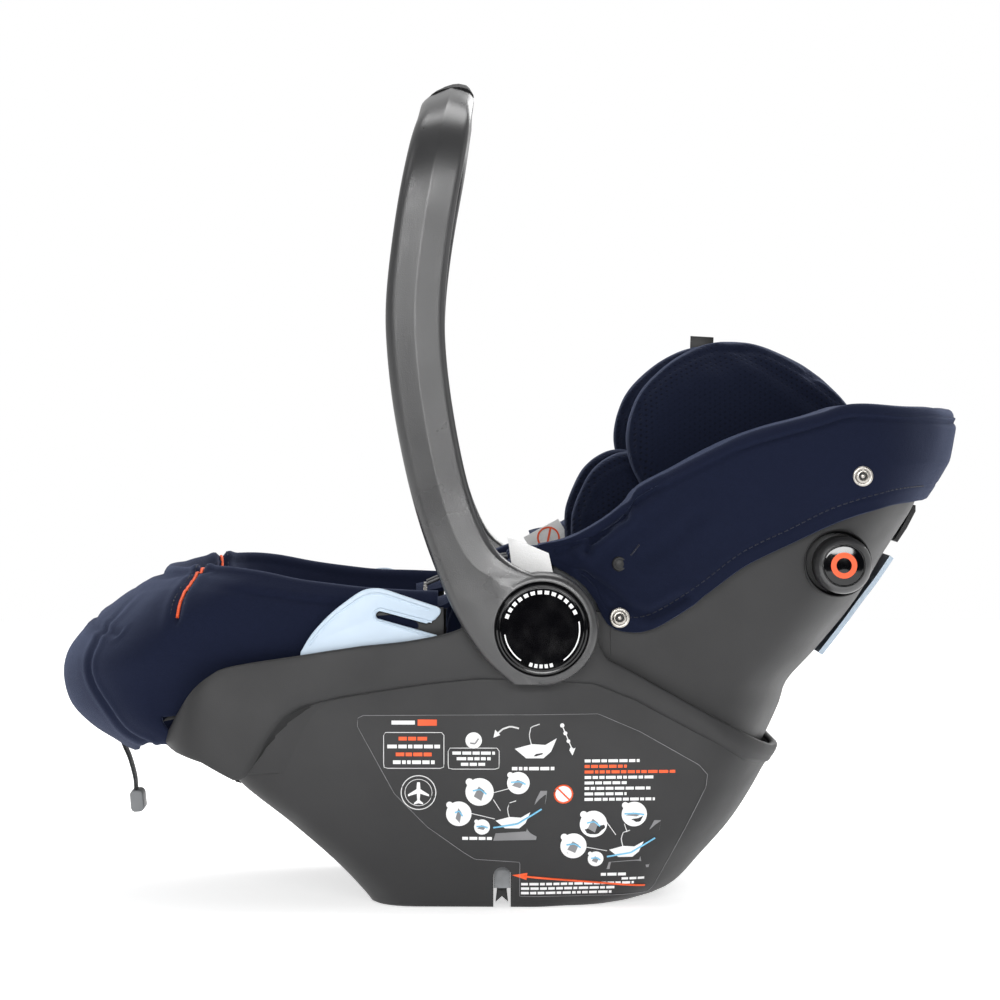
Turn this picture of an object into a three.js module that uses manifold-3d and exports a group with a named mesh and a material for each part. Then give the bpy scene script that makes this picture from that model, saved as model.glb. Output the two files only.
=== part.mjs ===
// Infant car seat: a carrier with a tub-shaped base, a swinging carry handle, a backrest that reclines
// into the base, and a leg section that slides forward as the backrest reclines.
// Millimetres. +X points to the head end, +Z up, +Y to the child's right. Z = 0 is the floor.
import * as THREE from 'three';
import { mergeVertices } from 'three/addons/utils/BufferGeometryUtils.js';
import Module from 'manifold-3d';

const wasm = await Module();
wasm.setup();

// ---- driving dimensions -------------------------------------------------------------------------
const WALL = 3.5; // moulded plastic wall
const GAP = 0.3; // between pieces that touch
const ARM_INNER = 197; // half the width between the handle arms
const ARM_OUTER = 219; // half the overall width
const HUB = [20.5, 202.6]; // handle pivot, X and Z
const RECLINE = [-20, 228]; // backrest hinge, X and Z
const LEG_CENTRE = [-204, -56]; // the leg section slides on an arc about this line
const LEG_ARC = 195; // radius of the leg section's underside
const BACK_ARC = 236; // radius of the back shell's sliding tail
const BACK_START = [50, 112]; // foot of the backrest surface at the seat
const BACK_ANGLE = THREE.MathUtils.degToRad(40); // slope of the backrest surface
const CAVITY_HALF = 129; // half the width inside the foam liner
const FAR = 400; // beyond everything, for cutting shapes

// ---- colours ------------------------------------------------------------------------------------
const material = (color, roughness, metalness = 0) =>
  new THREE.MeshStandardMaterial({ color, roughness, metalness });
const navy = material(0x111a36, 0.95);
const navyKnit = material(0x141d3a, 0.95);
const shellGrey = material(0x3f4142, 0.6);
const handleGrey = material(0x4c4e50, 0.4);
const insertGrey = material(0x7d8082, 0.6);
const black = material(0x0c0c0d, 0.2);
const rubber = material(0x1a1a1b, 0.9);
const paleBlue = material(0xd3e6f5, 0.4);
const steel = material(0xb4b6b8, 0.25, 1);
const foam = material(0x55585a, 0.9);
const webbing = material(0x2a2c2f, 0.9);
const red = material(0xb5221c, 0.45);

const group = new THREE.Group();

// ---- shape helpers ------------------------------------------------------------------------------
const smooth = (points, count) =>
  new THREE.SplineCurve(points.map(([a, b]) => new THREE.Vector2(a, b)))
    .getPoints(count)
    .map((p) => [p.x, p.y]);

const circle = ([a, b], radius, count = 32) =>
  Array.from({ length: count }, (_, i) => {
    const turn = (i / count) * 2 * Math.PI;
    return [a + radius * Math.cos(turn), b + radius * Math.sin(turn)];
  });

function arc([a, b], radius, fromDegrees, toDegrees, count) {
  const points = [];
  for (let i = 0; i <= count; i += 1) {
    const turn = THREE.MathUtils.degToRad(fromDegrees + ((toDegrees - fromDegrees) * i) / count);
    points.push([a + radius * Math.cos(turn), b + radius * Math.sin(turn)]);
  }
  return points;
}

const asShape = (points) => new THREE.Shape(points.map(([a, b]) => new THREE.Vector2(a, b)));

// A side-view outline (X, Z) carried across from y0 to y1.
function slab(points, y0, y1) {
  const shape = new THREE.ExtrudeGeometry(asShape(points), { depth: y1 - y0, bevelEnabled: false });
  return shape.rotateX(Math.PI / 2).translate(0, y1, 0);
}

// A front-view outline (Y, Z) carried along from x0 to x1.
function bar(points, x0, x1) {
  const shape = new THREE.ExtrudeGeometry(asShape(points), { depth: x1 - x0, bevelEnabled: false });
  const turn = new THREE.Matrix4().makeBasis(
    new THREE.Vector3(0, 1, 0), new THREE.Vector3(0, 0, 1), new THREE.Vector3(1, 0, 0));
  return shape.applyMatrix4(turn).translate(x0, 0, 0);
}

// A closed body through rings of equal point counts, from the lowest ring up.
function loft(rings) {
  const count = rings[0].length;
  const positions = rings.flat().flatMap((p) => [p.x, p.y, p.z]);
  const index = [];
  for (let r = 0; r + 1 < rings.length; r += 1) {
    for (let i = 0; i < count; i += 1) {
      const a = r * count + i;
      const b = r * count + ((i + 1) % count);
      index.push(a, b, b + count, a, b + count, a + count);
    }
  }
  const cap = (ring, start, up) => {
    const centre = ring.reduce((sum, p) => sum.add(p), new THREE.Vector3()).divideScalar(count);
    const middle = positions.length / 3;
    positions.push(centre.x, centre.y, centre.z);
    for (let i = 0; i < count; i += 1) {
      const a = start + i;
      const b = start + ((i + 1) % count);
      index.push(...(up ? [middle, a, b] : [middle, b, a]));
    }
  };
  cap(rings[0], 0, false);
  cap(rings[rings.length - 1], (rings.length - 1) * count, true);
  const geometry = new THREE.BufferGeometry();
  geometry.setAttribute('position', new THREE.Float32BufferAttribute(positions, 3));
  return geometry.setIndex(index);
}

// A plan-view outline at one height: elliptical corners at both ends, widest at xMid.
function plan(row, rounding) {
  const [z, front, rear, wFront, wMid, wRear] = row;
  const { xMid, frontX, frontY, rearX, rearY, steps } = rounding;
  const half = [];
  for (let i = 0; i <= steps; i += 1) {
    const turn = (i / steps) * (Math.PI / 2);
    half.push([rear - rearX * (1 - Math.cos(turn)), wRear - rearY * (1 - Math.sin(turn))]);
  }
  half.push([xMid, wMid]);
  for (let i = 0; i <= steps; i += 1) {
    const turn = (i / steps) * (Math.PI / 2);
    half.push([front + frontX * (1 - Math.sin(turn)), wFront - frontY * (1 - Math.cos(turn))]);
  }
  const ring = half.map(([x, y]) => new THREE.Vector3(x, y, z));
  return ring.concat(half.toReversed().map(([x, y]) => new THREE.Vector3(x, -y, z)));
}

const stack = (rows, rounding) => loft(rows.map((row) => plan(row, rounding)));

// The same rows with every side moved inward; slanted ends move further.
const inset = (rows, wall, ends = 1.3) => rows.map(([z, front, rear, wFront, wMid, wRear]) =>
  [z, front + wall * ends, rear - wall * ends, wFront - wall, wMid - wall, wRear - wall]);

function asSolid(geometry) {
  const bare = geometry.clone();
  bare.deleteAttribute('normal');
  bare.deleteAttribute('uv');
  const merged = mergeVertices(bare, 1e-4);
  return new wasm.Manifold(new wasm.Mesh({
    numProp: 3,
    vertProperties: new Float32Array(merged.attributes.position.array),
    triVerts: new Uint32Array(merged.index.array),
  }));
}

function asGeometry(solid) {
  const mesh = solid.getMesh();
  const geometry = new THREE.BufferGeometry();
  geometry.setAttribute('position', new THREE.BufferAttribute(new Float32Array(mesh.vertProperties), 3));
  geometry.setIndex(new THREE.BufferAttribute(new Uint32Array(mesh.triVerts), 1));
  return geometry;
}

const combine = (how) => (first, ...others) =>
  asGeometry(others.reduce((solid, other) => solid[how](asSolid(other)), asSolid(first)));
const join = combine('add');
const cut = combine('subtract');
const meet = combine('intersect');

const disc = ([x, z], radius, y0, y1, count = 32) => slab(circle([x, z], radius, count), y0, y1);
const block = (x0, x1, y0, y1, z0, z1) => slab([[x0, z0], [x1, z0], [x1, z1], [x0, z1]], y0, y1);

function mirrored(geometry) {
  const copy = geometry.clone().scale(1, -1, 1);
  if (!copy.index) copy.setIndex([...Array(copy.attributes.position.count).keys()]);
  const { array } = copy.index;
  for (let i = 0; i < array.length; i += 3) [array[i], array[i + 1]] = [array[i + 1], array[i]];
  return copy;
}

function place(name, geometry, look) {
  const mesh = new THREE.Mesh(geometry, look);
  mesh.name = name;
  group.add(mesh);
}

// Right-hand pieces are built at +Y and mirrored for the left.
function placePair(name, geometry, look) {
  place(`${name}_right`, geometry, look);
  place(`${name}_left`, mirrored(geometry), look);
}

// A point in the side view, `along` the backrest surface and `above` it.
const onBack = (along, above) => [
  BACK_START[0] + along * Math.cos(BACK_ANGLE) - above * Math.sin(BACK_ANGLE),
  BACK_START[1] + along * Math.sin(BACK_ANGLE) + above * Math.cos(BACK_ANGLE),
];

// ---- base shell ---------------------------------------------------------------------------------
// Rows: height, front, rear, half width at the front, middle and rear.
const BASE_ROUND = { xMid: 20, frontX: 30, frontY: 40, rearX: 56, rearY: 115, steps: 6 };
const FLOOR = 30; // inside floor of the tub
const RECESS = 26.5; // ceiling of the hollow underneath
const LOWER = [
  [0, -100, 99, 147, 151, 141],
  [8, -106, 122, 149, 154, 145],
  [30, -126, 142, 158, 166, 156],
  [59, -158, 165, 168, 178, 170],
  [92, -197, 184.5, 178, 185, 176],
  [115, -205, 194, 181, 188, 177],
  [170, -205, 194, 184, 191, 177],
];
const BAND_ROW = [-256, 195.5, 193, 195, 179.5];
const BAND = [[80, ...BAND_ROW], [260, ...BAND_ROW]];
const BAND_TOP = [
  ...smooth([[-255, 122], [-250, 127], [-247, 135], [-240, 147], [-230, 158], [-220, 167], [-200, 175],
    [-150, 183], [-110, 189], [-74, 193], [-44, 199], [-20, 208], [20, 214], [50, 208], [61, 193],
    [66, 182], [90, 169], [165, 127], [190, 114]], 60),
];
const BAND_BOTTOM = [
  [194, 108], [188, 101], [168, 106], [145, 120], [90, 150], [60, 162], [20, 165], [-23, 166],
  [-59, 162.5], [-91, 158], [-123, 153], [-158, 145], [-172, 132], [-184, 113], [-192, 99],
  [-200, 95], [-214, 101], [-238, 111], [-251, 118],
];
const BAND_HOLLOW = [
  [-250.8, 124], [-246, 121], [-212, 106], [-197, 100], [-186, 112], [-178, 126], [-168, 138],
  [-155, 149], [-121, 157.5], [-59, 167], [20, 169.5], [62, 167.5], [92, 155], [147, 125],
  [170, 111], [190, 106], [190, FAR], [-250.8, FAR],
];
const NOTCH = { x: -6.5, half: 6.2, spring: 24 }; // arched opening in the bottom rim

function baseShell() {
  const below = slab([[-FAR, -1], ...BAND_BOTTOM.toReversed().map(([x, z]) => [x, z + 8]), [FAR, -1]],
    -FAR, FAR);
  const lower = meet(stack(LOWER, BASE_ROUND), below);
  const band = meet(stack(BAND, BASE_ROUND), slab([...BAND_TOP, ...BAND_BOTTOM], -FAR, FAR));
  const bandHollow = meet(stack(inset(BAND, WALL), BASE_ROUND), slab(BAND_HOLLOW, -FAR, FAR));
  const tub = inset(LOWER.filter(([z]) => z >= FLOOR), WALL, 1.5);
  const [, ...topRow] = tub[tub.length - 1];
  const tubHollow = stack([...tub, [FAR, ...topRow]], BASE_ROUND);
  const [, ...rim] = inset(LOWER, 5)[0];
  const underside = stack([[-1, ...rim], [RECESS, ...rim]], BASE_ROUND);
  const arch = [
    [NOTCH.x - NOTCH.half, -1], [NOTCH.x + NOTCH.half, -1],
    ...arc([NOTCH.x, NOTCH.spring], NOTCH.half, 0, 180, 8),
  ];
  const notch = (y0, y1) => slab(arch, y0, y1);
  let shell = cut(join(lower, band), bandHollow, tubHollow, underside, notch(139, 175), notch(-175, -139));
  for (const side of [-1, 1]) {
    const between = (near, far) => (side > 0 ? [near, far] : [-far, -near]);
    const ear = slab([[-36, 198], [-36, 206], [-33, 232], ...arc(RECLINE, 13, 160, 0, 8), [-4, 198]],
      ...between(186.5, 192.5));
    shell = join(shell, disc(HUB, 37, ...between(187.5, 196.4), 40), ear);
    shell = cut(shell, disc(HUB, 14.3, ...between(180, 200)), disc(RECLINE, 5.3, ...between(180, 200), 20));
  }
  return shell;
}
place('base_shell', baseShell(), shellGrey);

// Grey lining in the arch of each side notch.
const liningArch = [
  [NOTCH.x - 5.9, 14], [NOTCH.x + 5.9, 14], ...arc([NOTCH.x, NOTCH.spring], 5.9, 0, 180, 8),
];
placePair('notch_lining', slab(liningArch, 147, 153), insertGrey);

// A rod across the underside with a hook at each end grips the car base.
const LATCH_AXIS = [NOTCH.x, 21];
function latch() {
  const hook = [
    [-11.5, 22], [-9, 25], [-4, 25], [-1.5, 22], [-3, 12], [-2, 3], [-6.5, 7], [-11, 3], [-10, 12],
  ];
  return join(disc(LATCH_AXIS, 3, -139, 139, 12), slab(hook, 138, 143), slab(hook, -143, -138));
}
place('latch_hooks', latch(), black);

// Black pull lever under the front of the tray.
const trigger = [[-219, 98], [-211, 96], [-204, 91], [-200, 85], [-199, 78], [-203, 79], [-206, 84.5],
  [-212, 90], [-220, 93]];
place('recline_trigger', slab(trigger, -28, 28), black);

// ---- belt guides and pins -----------------------------------------------------------------------
const GUIDE = [
  [-150, 168], ...smooth([[-149, 185], [-141, 198], [-128, 212], [-114, 223], [-105, 228.5], [-97, 230],
    [-89, 229], [-74, 224], [-53, 217]], 16),
  [-50, 214], [-54, 208], [-60, 205], ...arc([-93, 211], 2.8, 75, 270, 6), [-53, 197], [-50, 190],
  [-52, 172],
];
placePair('belt_guide', slab(GUIDE, 186.4, 189.6), paleBlue);
placePair('handle_pivot', cut(disc(HUB, 14, 184, 199.2), disc(HUB, 4, 183, 200, 12)), steel);
placePair('recline_pin', disc(RECLINE, 5, 172, 191.5, 20), steel);

// Padded sides at the hips, between the leg section and the backrest.
const HIP = [[-49, 176], [-49, 205], [-42, 224], [-22, 243], [0, 253], [14, 258], [16, 243], [10, 205],
  [7, 176]];
placePair('hip_panel', slab(HIP, 132, 171.5), navy);

// ---- crotch strap and buckle --------------------------------------------------------------------
const BUCKLE_X = -62;
place('strap_anchor', block(-80, -46, -28, 28, FLOOR + GAP, FLOOR + 4), steel);
place('crotch_strap', block(BUCKLE_X - 1.5, BUCKLE_X + 1.5, -19, 19, FLOOR + 4 + GAP, 156), webbing);
function crotchPad() {
  const outside = block(BUCKLE_X - 7, BUCKLE_X + 7, -27, 27, 138, 155);
  return cut(outside, block(BUCKLE_X - 1.9, BUCKLE_X + 1.9, -20, 20, 100, 200));
}
place('crotch_pad', crotchPad(), navy);
const BUTTON_HOLE = [-11, 11, 172, 196]; // half width across, then height
function buckleBody() {
  const front = [[-25, 156.3], [25, 156.3], [29, 164], [30, 190], [26, 206], [-26, 206], [-30, 190], [-29, 164]];
  const [y0, y1, z0, z1] = BUTTON_HOLE;
  const slots = [-21, 5].map((y) => block(BUCKLE_X - 2, BUCKLE_X + 2.2, y, y + 16, 186, 210));
  return cut(bar(front, BUCKLE_X - 11, BUCKLE_X + 11), block(-80, BUCKLE_X - 3.5, y0, y1, z0, z1), ...slots);
}
place('buckle_body', buckleBody(), black);
place('buckle_button', block(BUCKLE_X - 12, BUCKLE_X - 7, -10.6, 10.6, 172.4, 195.6), red);
function tongue() {
  const plate = bar([[5.5, 188], [20.5, 188], [20.5, 207], [41, 211], [41, 225], [12, 225], [5.5, 211]],
    BUCKLE_X - 1.2, BUCKLE_X + 1.2);
  return cut(plate, bar([[15, 217.5], [38.5, 217.5], [38.5, 221.5], [15, 221.5]], -80, -40));
}
placePair('buckle_tongue', tongue(), steel);

// ---- handle -------------------------------------------------------------------------------------
const ARM_FRONT = smooth([[0, 164], [-19, 181], [-38, 209], [-55, 247], [-70, 293], [-82, 349],
  [-88, 400], [-88, 440], [-80, 502], [-70, 550], [-62, 573]], 26);
const ARM_REAR = smooth([[-27, 573], [-31, 544], [-41, 488], [-47, 435], [-46, 390], [-38, 335],
  [-27, 290], [-12, 258], [8, 243], [22, 242]], 22);
const GRIP_THICK = 4.2;
// The bow seen from the front, half of it: the outer edge, then the inner edge.
const BOW_OUTER = [[ARM_OUTER, 150], ...smooth([[ARM_OUTER, 480], [ARM_OUTER, 505], [216, 532],
  [207, 555], [190, 571], [165, 580.5], [120, 589], [60, 594.5], [0, 596]], 18)];
const BOW_INNER = [[ARM_INNER, 150], ...smooth([[ARM_INNER, 480], [ARM_INNER, 500], [193, 523],
  [185, 540], [172, 552], [150, 559], [110, 566], [60, 571.5], [0, 573]], 18)];

function bowBand(outer, inner) {
  const flip = (points) => points.slice(0, -1).map(([y, z]) => [-y, z]).toReversed();
  const whole = (points) => [...points, ...flip(points)];
  return bar([...whole(outer), ...whole(inner).toReversed()], -120, 80);
}

const lowered = (points, drop) => points.map(([y, z]) => [y, z > 500 ? z - drop : z]);

function bow() {
  const side = [...ARM_FRONT, [-61, 590], [-55, 597], [-34, 597], [-28, 590], ...ARM_REAR, [22, 164]];
  return meet(slab(side, -FAR, FAR), bowBand(BOW_OUTER, BOW_INNER));
}

const SPLIT = 140; // where the arms meet the crossbar
function handleArm() {
  const arm = meet(bow(), block(-FAR, FAR, SPLIT + GAP / 2, FAR, 0, 700));
  const hub = disc(HUB, 39.8, ARM_INNER, ARM_OUTER, 48);
  return cut(join(arm, hub), disc(HUB, 33, 199.5, 230, 48), disc(HUB, 14.3, 190, 200));
}
placePair('handle_arm', handleArm(), handleGrey);

function crossbar() {
  const underGrip = bowBand(lowered(BOW_OUTER, GRIP_THICK + GAP), BOW_INNER);
  return meet(bow(), underGrip, block(-FAR, FAR, -SPLIT, SPLIT, 0, 700));
}
place('handle_crossbar', crossbar(), handleGrey);

function grip() {
  const layer = bowBand(BOW_OUTER, lowered(BOW_OUTER, GRIP_THICK));
  return meet(bow(), layer, block(-59, -30, -SPLIT + 1, SPLIT - 1, 500, 700));
}
place('handle_grip', grip(), rubber);

function lockGear() {
  const teeth = Array.from({ length: 24 }, (_, i) => {
    const turn = (i / 24) * 2 * Math.PI;
    const radius = i % 2 ? 25 : 21.5;
    return [HUB[0] + radius * Math.cos(turn), HUB[1] + radius * Math.sin(turn)];
  });
  return cut(slab(teeth, 206.5, 211), disc(HUB, 4.2, 200, 220, 12));
}
placePair('lock_gear', lockGear(), insertGrey);
placePair('hub_spring', cut(disc(HUB, 11.5, 199.8, 206.2), disc(HUB, 9, 190, 210)), steel);
placePair('hub_button', disc(HUB, 32.4, 212, 220.2, 48), black);

// ---- backrest -----------------------------------------------------------------------------------
const BACK_ROUND = { xMid: 20, frontX: 30, frontY: 30, rearX: 58, rearY: 125, steps: 6 };
const tail = (z) => RECLINE[0] + Math.sqrt(BACK_ARC ** 2 - (RECLINE[1] - z) ** 2);
const BACK = [
  ...[95, 117, 141, 158].map((z) => [z, -60, tail(z), 180, 182, 168.6]),
  [182, -60, 227, 180, 182, 170.2], [216, -60, 254, 180, 182, 175], [250, -60, 274, 180, 183, 178],
  [269, -60, 286, 180, 183, 180], [290, -60, 298, 180, 183, 182], [325, -60, 308, 180, 183, 183],
];
const RIM_BOTTOM = smooth([[71, 202], [83, 201], [98, 204], [132, 225], [163, 246], [194, 260],
  [225, 275], [256, 285], [285, 290], [345, 290]], 22);
const RIM_TOP = smooth([[345, 357], [320, 356], [277, 358], [238, 360], [213, 353], [166, 340], [143, 330],
  [114, 315], [89, 301], [81, 291], [60, 275], [40, 265], [19, 260]], 26);
const raised = (points, up) => points.map(([x, z]) => [x, z + up]);
const POD = [231, 247];

const insideShell = (wall) => stack(inset([...BACK, [FAR, -60, 310, 180, 184, 184]], wall), BACK_ROUND);

function backShell() {
  const sides = [[62, 176], [72, 165], [90, 157], [165, 115], [176, 104], [FAR, 104], [FAR, 312],
    ...raised(RIM_BOTTOM, 17).toReversed(), [62, 214]];
  const skin = cut(stack(BACK, BACK_ROUND), stack(inset(BACK, 3, 1.15).map((row, i, rows) =>
    (i === 0 ? [90, ...row.slice(1)] : i === rows.length - 1 ? [330, ...row.slice(1)] : row)), BACK_ROUND));
  let shell = meet(skin, slab(sides, -FAR, FAR));
  for (const side of [-1, 1]) {
    const between = (near, far) => (side > 0 ? [near, far] : [-far, -near]);
    const link = [...arc(RECLINE, 12, 110, 230, 8), [62, 178], [70, 178], [70, 213], [62, 213]];
    shell = join(shell, slab(link, ...between(176.2, 180)));
    shell = cut(shell, disc(RECLINE, 5.3, ...between(170, 190), 20), disc(POD, 24, ...between(160, 200)));
  }
  return shell;
}
place('back_shell', backShell(), shellGrey);

const RIM_ROUND = { xMid: 118, frontX: 60, frontY: 5, rearX: 62, rearY: 140, steps: 7 };
const RIM_HALF = 194.5; // half width of the rim; it narrows to RIM_FRONT beside the hubs
const RIM_FRONT = 182.2;
const RIM_REAR = [[180, 305], [288, 308], [300, 317], [318, 328], [342, 335], [370, 333]]; // height, X
const rimBody = (inward, frontInward = inward) => stack(RIM_REAR.map(([z, rear]) =>
  [z, 0, rear - inward, RIM_FRONT - frontInward, RIM_HALF - inward, RIM_HALF - inward]), RIM_ROUND);

function rimCover() {
  const outline = [[19, 260], [40, 243], [58, 222], ...RIM_BOTTOM, ...RIM_TOP.slice(0, -1)];
  const roof = raised(RIM_TOP, -8);
  const under = [...roof, [0, 250], [0, 100], [FAR, 100], [FAR, 349]];
  const inside = meet(rimBody(7, 2), slab(under, -FAR, FAR));
  const opening = slab([...cavityFloor(), [299, 500], [-60, 500]], -CAVITY_HALF, CAVITY_HALF);
  return cut(meet(rimBody(0), slab(outline, -FAR, FAR)), inside, opening);
}

const BACK_END = 316; // length of the backrest surface up to the head wall
const PAD = 12; // back cushion thickness
const cavityFloor = () => [onBack(-30, -PAD - GAP), onBack(BACK_END, -PAD - GAP)];

place('rim_cover', rimCover(), navy);

function foamLiner() {
  const outline = [[40, 108], onBack(0, -32), onBack(240, -32), [FAR, 285], [FAR, 348],
    ...raised(RIM_TOP.slice(2, -1), -8.5), [30, 249], [28, 215], [34, 150]];
  const cavity = slab([...cavityFloor(), [299, 500], [-60, 500], [-60, 60]], -CAVITY_HALF, CAVITY_HALF);
  const pods = [-1, 1].map((side) => disc(POD, 25, side > 0 ? 140 : -220, side > 0 ? 220 : -140));
  return cut(meet(insideShell(8), slab(outline, -FAR, FAR), rimBody(7.6)), cavity, ...pods);
}
place('foam_liner', foamLiner(), foam);

const backPad = [onBack(2, -PAD), onBack(BACK_END - 3, -PAD), onBack(BACK_END - 3, 0), onBack(8, 0),
  onBack(2, -4)];
place('back_cushion', meet(slab(backPad, -126, 126), insideShell(4)), navyKnit);

const SUPPORT = [onBack(6, GAP), [48, 180], [45, 230], ...smooth([[44, 264], [46, 284], [58, 310],
  [74, 323], [91, 326], [105, 318]], 12), [118, 290], onBack(140, GAP)];
placePair('body_support', slab(SUPPORT, 72, 98), navyKnit);

// Side-impact pods: a round housing sunk in each side of the back shell.
placePair('pod_housing', loft([0, 1, 2, 3].map((i) => {
  const [radius, y] = [[20.5, 160], [20.5, 186], [18.5, 191.5], [14.5, 193]][i];
  return circle([234, 246], radius, 32).toReversed().map(([x, z]) => new THREE.Vector3(x, y, z));
})), handleGrey);

// Pale strip that guides the car belt round the back of the shell.
const strip = smooth([[230, 175.5], [246, 196], [259.5, 214.5], [271, 229.5], [282.5, 246.5]], 10);
const stripInner = strip.map(([x, z]) => [x - 2.8, z + 2.1]).toReversed();
place('rear_belt_guide', slab([...strip, ...stripInner], -68, 68), paleBlue);

function snap(centre, y) {
  return cut(disc(centre, 7, y, y + 1.5, 24), disc(centre, 3, y - 1, y + 3, 16));
}
placePair('rear_snap', snap([247, 309], 194.8), steel);
placePair('front_snap', snap([76, 209], 187.9), steel);

// Release lever on the back, under the head rim.
const lever = [[298.5, 284.5], [301.5, 285], [301.5, 280.5], [295, 268], [288, 257.5], [285.8, 259],
  [292, 269.5], [297.8, 280.5]];
place('release_lever', slab(lever, -42, 42), black);

// Shoulder straps run from the back cushion over the chest to the buckle tongues.
const strapLine = smooth([onBack(138, 3), onBack(126, 26), [100, 238], [40, 250], [-20, 243],
  [-52, 230], [-61, 226]], 18);
const ribbon = (line, thick) => [...line, ...line.map(([x, z]) => [x, z + thick]).toReversed()];
placePair('shoulder_strap', slab(ribbon(strapLine, 2), 15, 38), webbing);
function shoulderPad() {
  const middle = strapLine.slice(5, 12);
  const outside = [...middle.map(([x, z]) => [x, z - 5]), ...middle.map(([x, z]) => [x, z + 7]).toReversed()];
  const tunnel = [...middle.map(([x, z]) => [x, z - 0.7]), ...middle.map(([x, z]) => [x, z + 2.7]).toReversed()];
  const ends = [[outside[0][0] + 5, tunnel[0][1]], [outside[0][0] + 5, tunnel[tunnel.length - 1][1]]];
  return cut(slab(outside, 8, 45), slab(tunnel, 14, 39), block(middle[0][0] - 1, ends[0][0], 14, 39,
    ends[0][1], ends[1][1]));
}
placePair('shoulder_pad', shoulderPad(), navy);

// ---- headrest -----------------------------------------------------------------------------------
const headPad = [onBack(152, 3), onBack(268, 3), onBack(270, 26), onBack(264, 34), onBack(158, 34),
  onBack(150, 26)];
place('headrest_cushion', slab(headPad, -99.5, 99.5), navyKnit);
const WING = [...smooth([[93, 302], [87, 312], [82, 337], [91, 366], [103, 381], [118, 393], [137, 402],
  [160, 405], [182, 402], [206, 391], [225, 378], [240, 365]], 20), [248, 355], [252, 338], onBack(262, 4),
onBack(150, 4), [120, 262], [104, 284]];
placePair('headrest_wing', slab(WING, 100, 126), navyKnit);
place('headrest_handle', block(255, 268, -30, 30, 334, 342), black);

// ---- leg section --------------------------------------------------------------------------------
const onLegArc = (x, radius) => [x, LEG_CENTRE[1] + Math.sqrt(radius ** 2 - (x - LEG_CENTRE[0]) ** 2)];
const underLegs = (radius) => [-262, -240, -204, -175, -150, -120].map((x) => onLegArc(x, radius));
const BOOT_ROUND = { xMid: -120, frontX: 75, frontY: 80, rearX: 10, rearY: 5, steps: 7 };
function legShell() {
  const outside = [...underLegs(LEG_ARC), [-100, 106], [-60, 93], [20, 85], [20, 96], [-50, 104], [-56, 208],
    [-136, 219], [-158, 222], [-203, 226], [-240, 224], [-262, 210]];
  const inside = [...underLegs(LEG_ARC + WALL).map(([x, z], i) => [i === 0 ? x + WALL : x, z]), [-99, 109.5],
    [-59, 96.5], [30, 88.5], [30, FAR], [-258.5, FAR]];
  const bounds = (wall) => stack([60, 300].map((z) => [z, -262 + wall, 60, 168 - wall, 168 - wall, 168 - wall]),
    { ...BOOT_ROUND, frontX: 24 - wall, frontY: 24 - wall });
  const shell = cut(meet(slab(outside, -FAR, FAR), bounds(0)), meet(slab(inside, -FAR, FAR), bounds(WALL)));
  return cut(shell, block(-70, 40, 126.3, FAR, 80, 101), block(-70, 40, -FAR, -126.3, 80, 101),
    block(-72, -18, -29, 29, 60, 130));
}
place('leg_shell', legShell(), shellGrey);

const BOOT = [
  [104, -284, 160], [112, -294, 163], [124, -313, 166], [140, -328, 168], [159, -333, 172],
  [176, -330, 178], [190, -319, 181], [205, -303, 182], [218, -287, 181], [228, -272, 179], [236, -258, 173],
];
function bootCover() {
  const outside = stack(BOOT.map(([z, front, width]) => [z, front, -55, width, width, width]), BOOT_ROUND);
  const [frontInside, widthInside] = [-262.5, 168.5];
  const inner = (z) => [z, frontInside, 60, widthInside, widthInside, widthInside];
  const inside = stack([inner(100), inner(260)], { ...BOOT_ROUND, frontX: 20, frontY: 20 });
  const side = [[-340, 100], [-262.5, 100], [-262.5, 136], [-204, 141], [-160, 152], [-123, 161],
    [-59, 171], [-52, 176], ...smooth([[-52, 222], [-104, 224], [-137, 227], [-184, 234],
      [-222, 235.5], [-250, 232]], 12), [-340, 240]];
  return cut(meet(outside, slab(side, -FAR, FAR)), inside);
}
place('boot_cover', bootCover(), navy);

// The seat surface rises from the crotch to the front rim; the foam under it is thickest at the front.
const SEAT_TOP = smooth([[36, 118], [0, 112], [-60, 117], [-110, 141], [-160, 180], [-205, 219],
  [-235, 236], [-258, 230]], 18);
const SEAT_UNDER = smooth([[-258, 182], [-200, 160], [-130, 129], [-60, 103], [0, 98], [36, 104]], 12);
const ADJUSTER_TOP = 232; // the harness adjuster sits in a pocket at the front of the seat
function seatCushion() {
  const whole = slab([...SEAT_TOP, ...SEAT_UNDER], -126, 126);
  return cut(whole, block(-72, -18, -29, 29, 60, 160), block(-254, -228, -24, 24, 150, 260));
}
place('seat_cushion', seatCushion(), navyKnit);
const adjusterBox = block(-253, -229, -23, 23, ADJUSTER_TOP - 54, ADJUSTER_TOP);
place('harness_adjuster', cut(adjusterBox, block(-249, -233, -15, 15, ADJUSTER_TOP - 12, ADJUSTER_TOP + 8)),
  black);
place('adjuster_button', block(-248.6, -233.4, -14.6, 14.6, ADJUSTER_TOP - 6, ADJUSTER_TOP + 2), red);
const hanging = [[-282.5, 103.4], [-281, 90], [-279, 71], [-283, 70], [-281, 56], [-273, 57], [-274.5, 71.5],
  [-277.2, 72], [-279.4, 90], [-280.9, 103.4]];
place('adjuster_strap', slab(hanging, -12.5, 12.5), webbing);

export default group;
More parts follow.
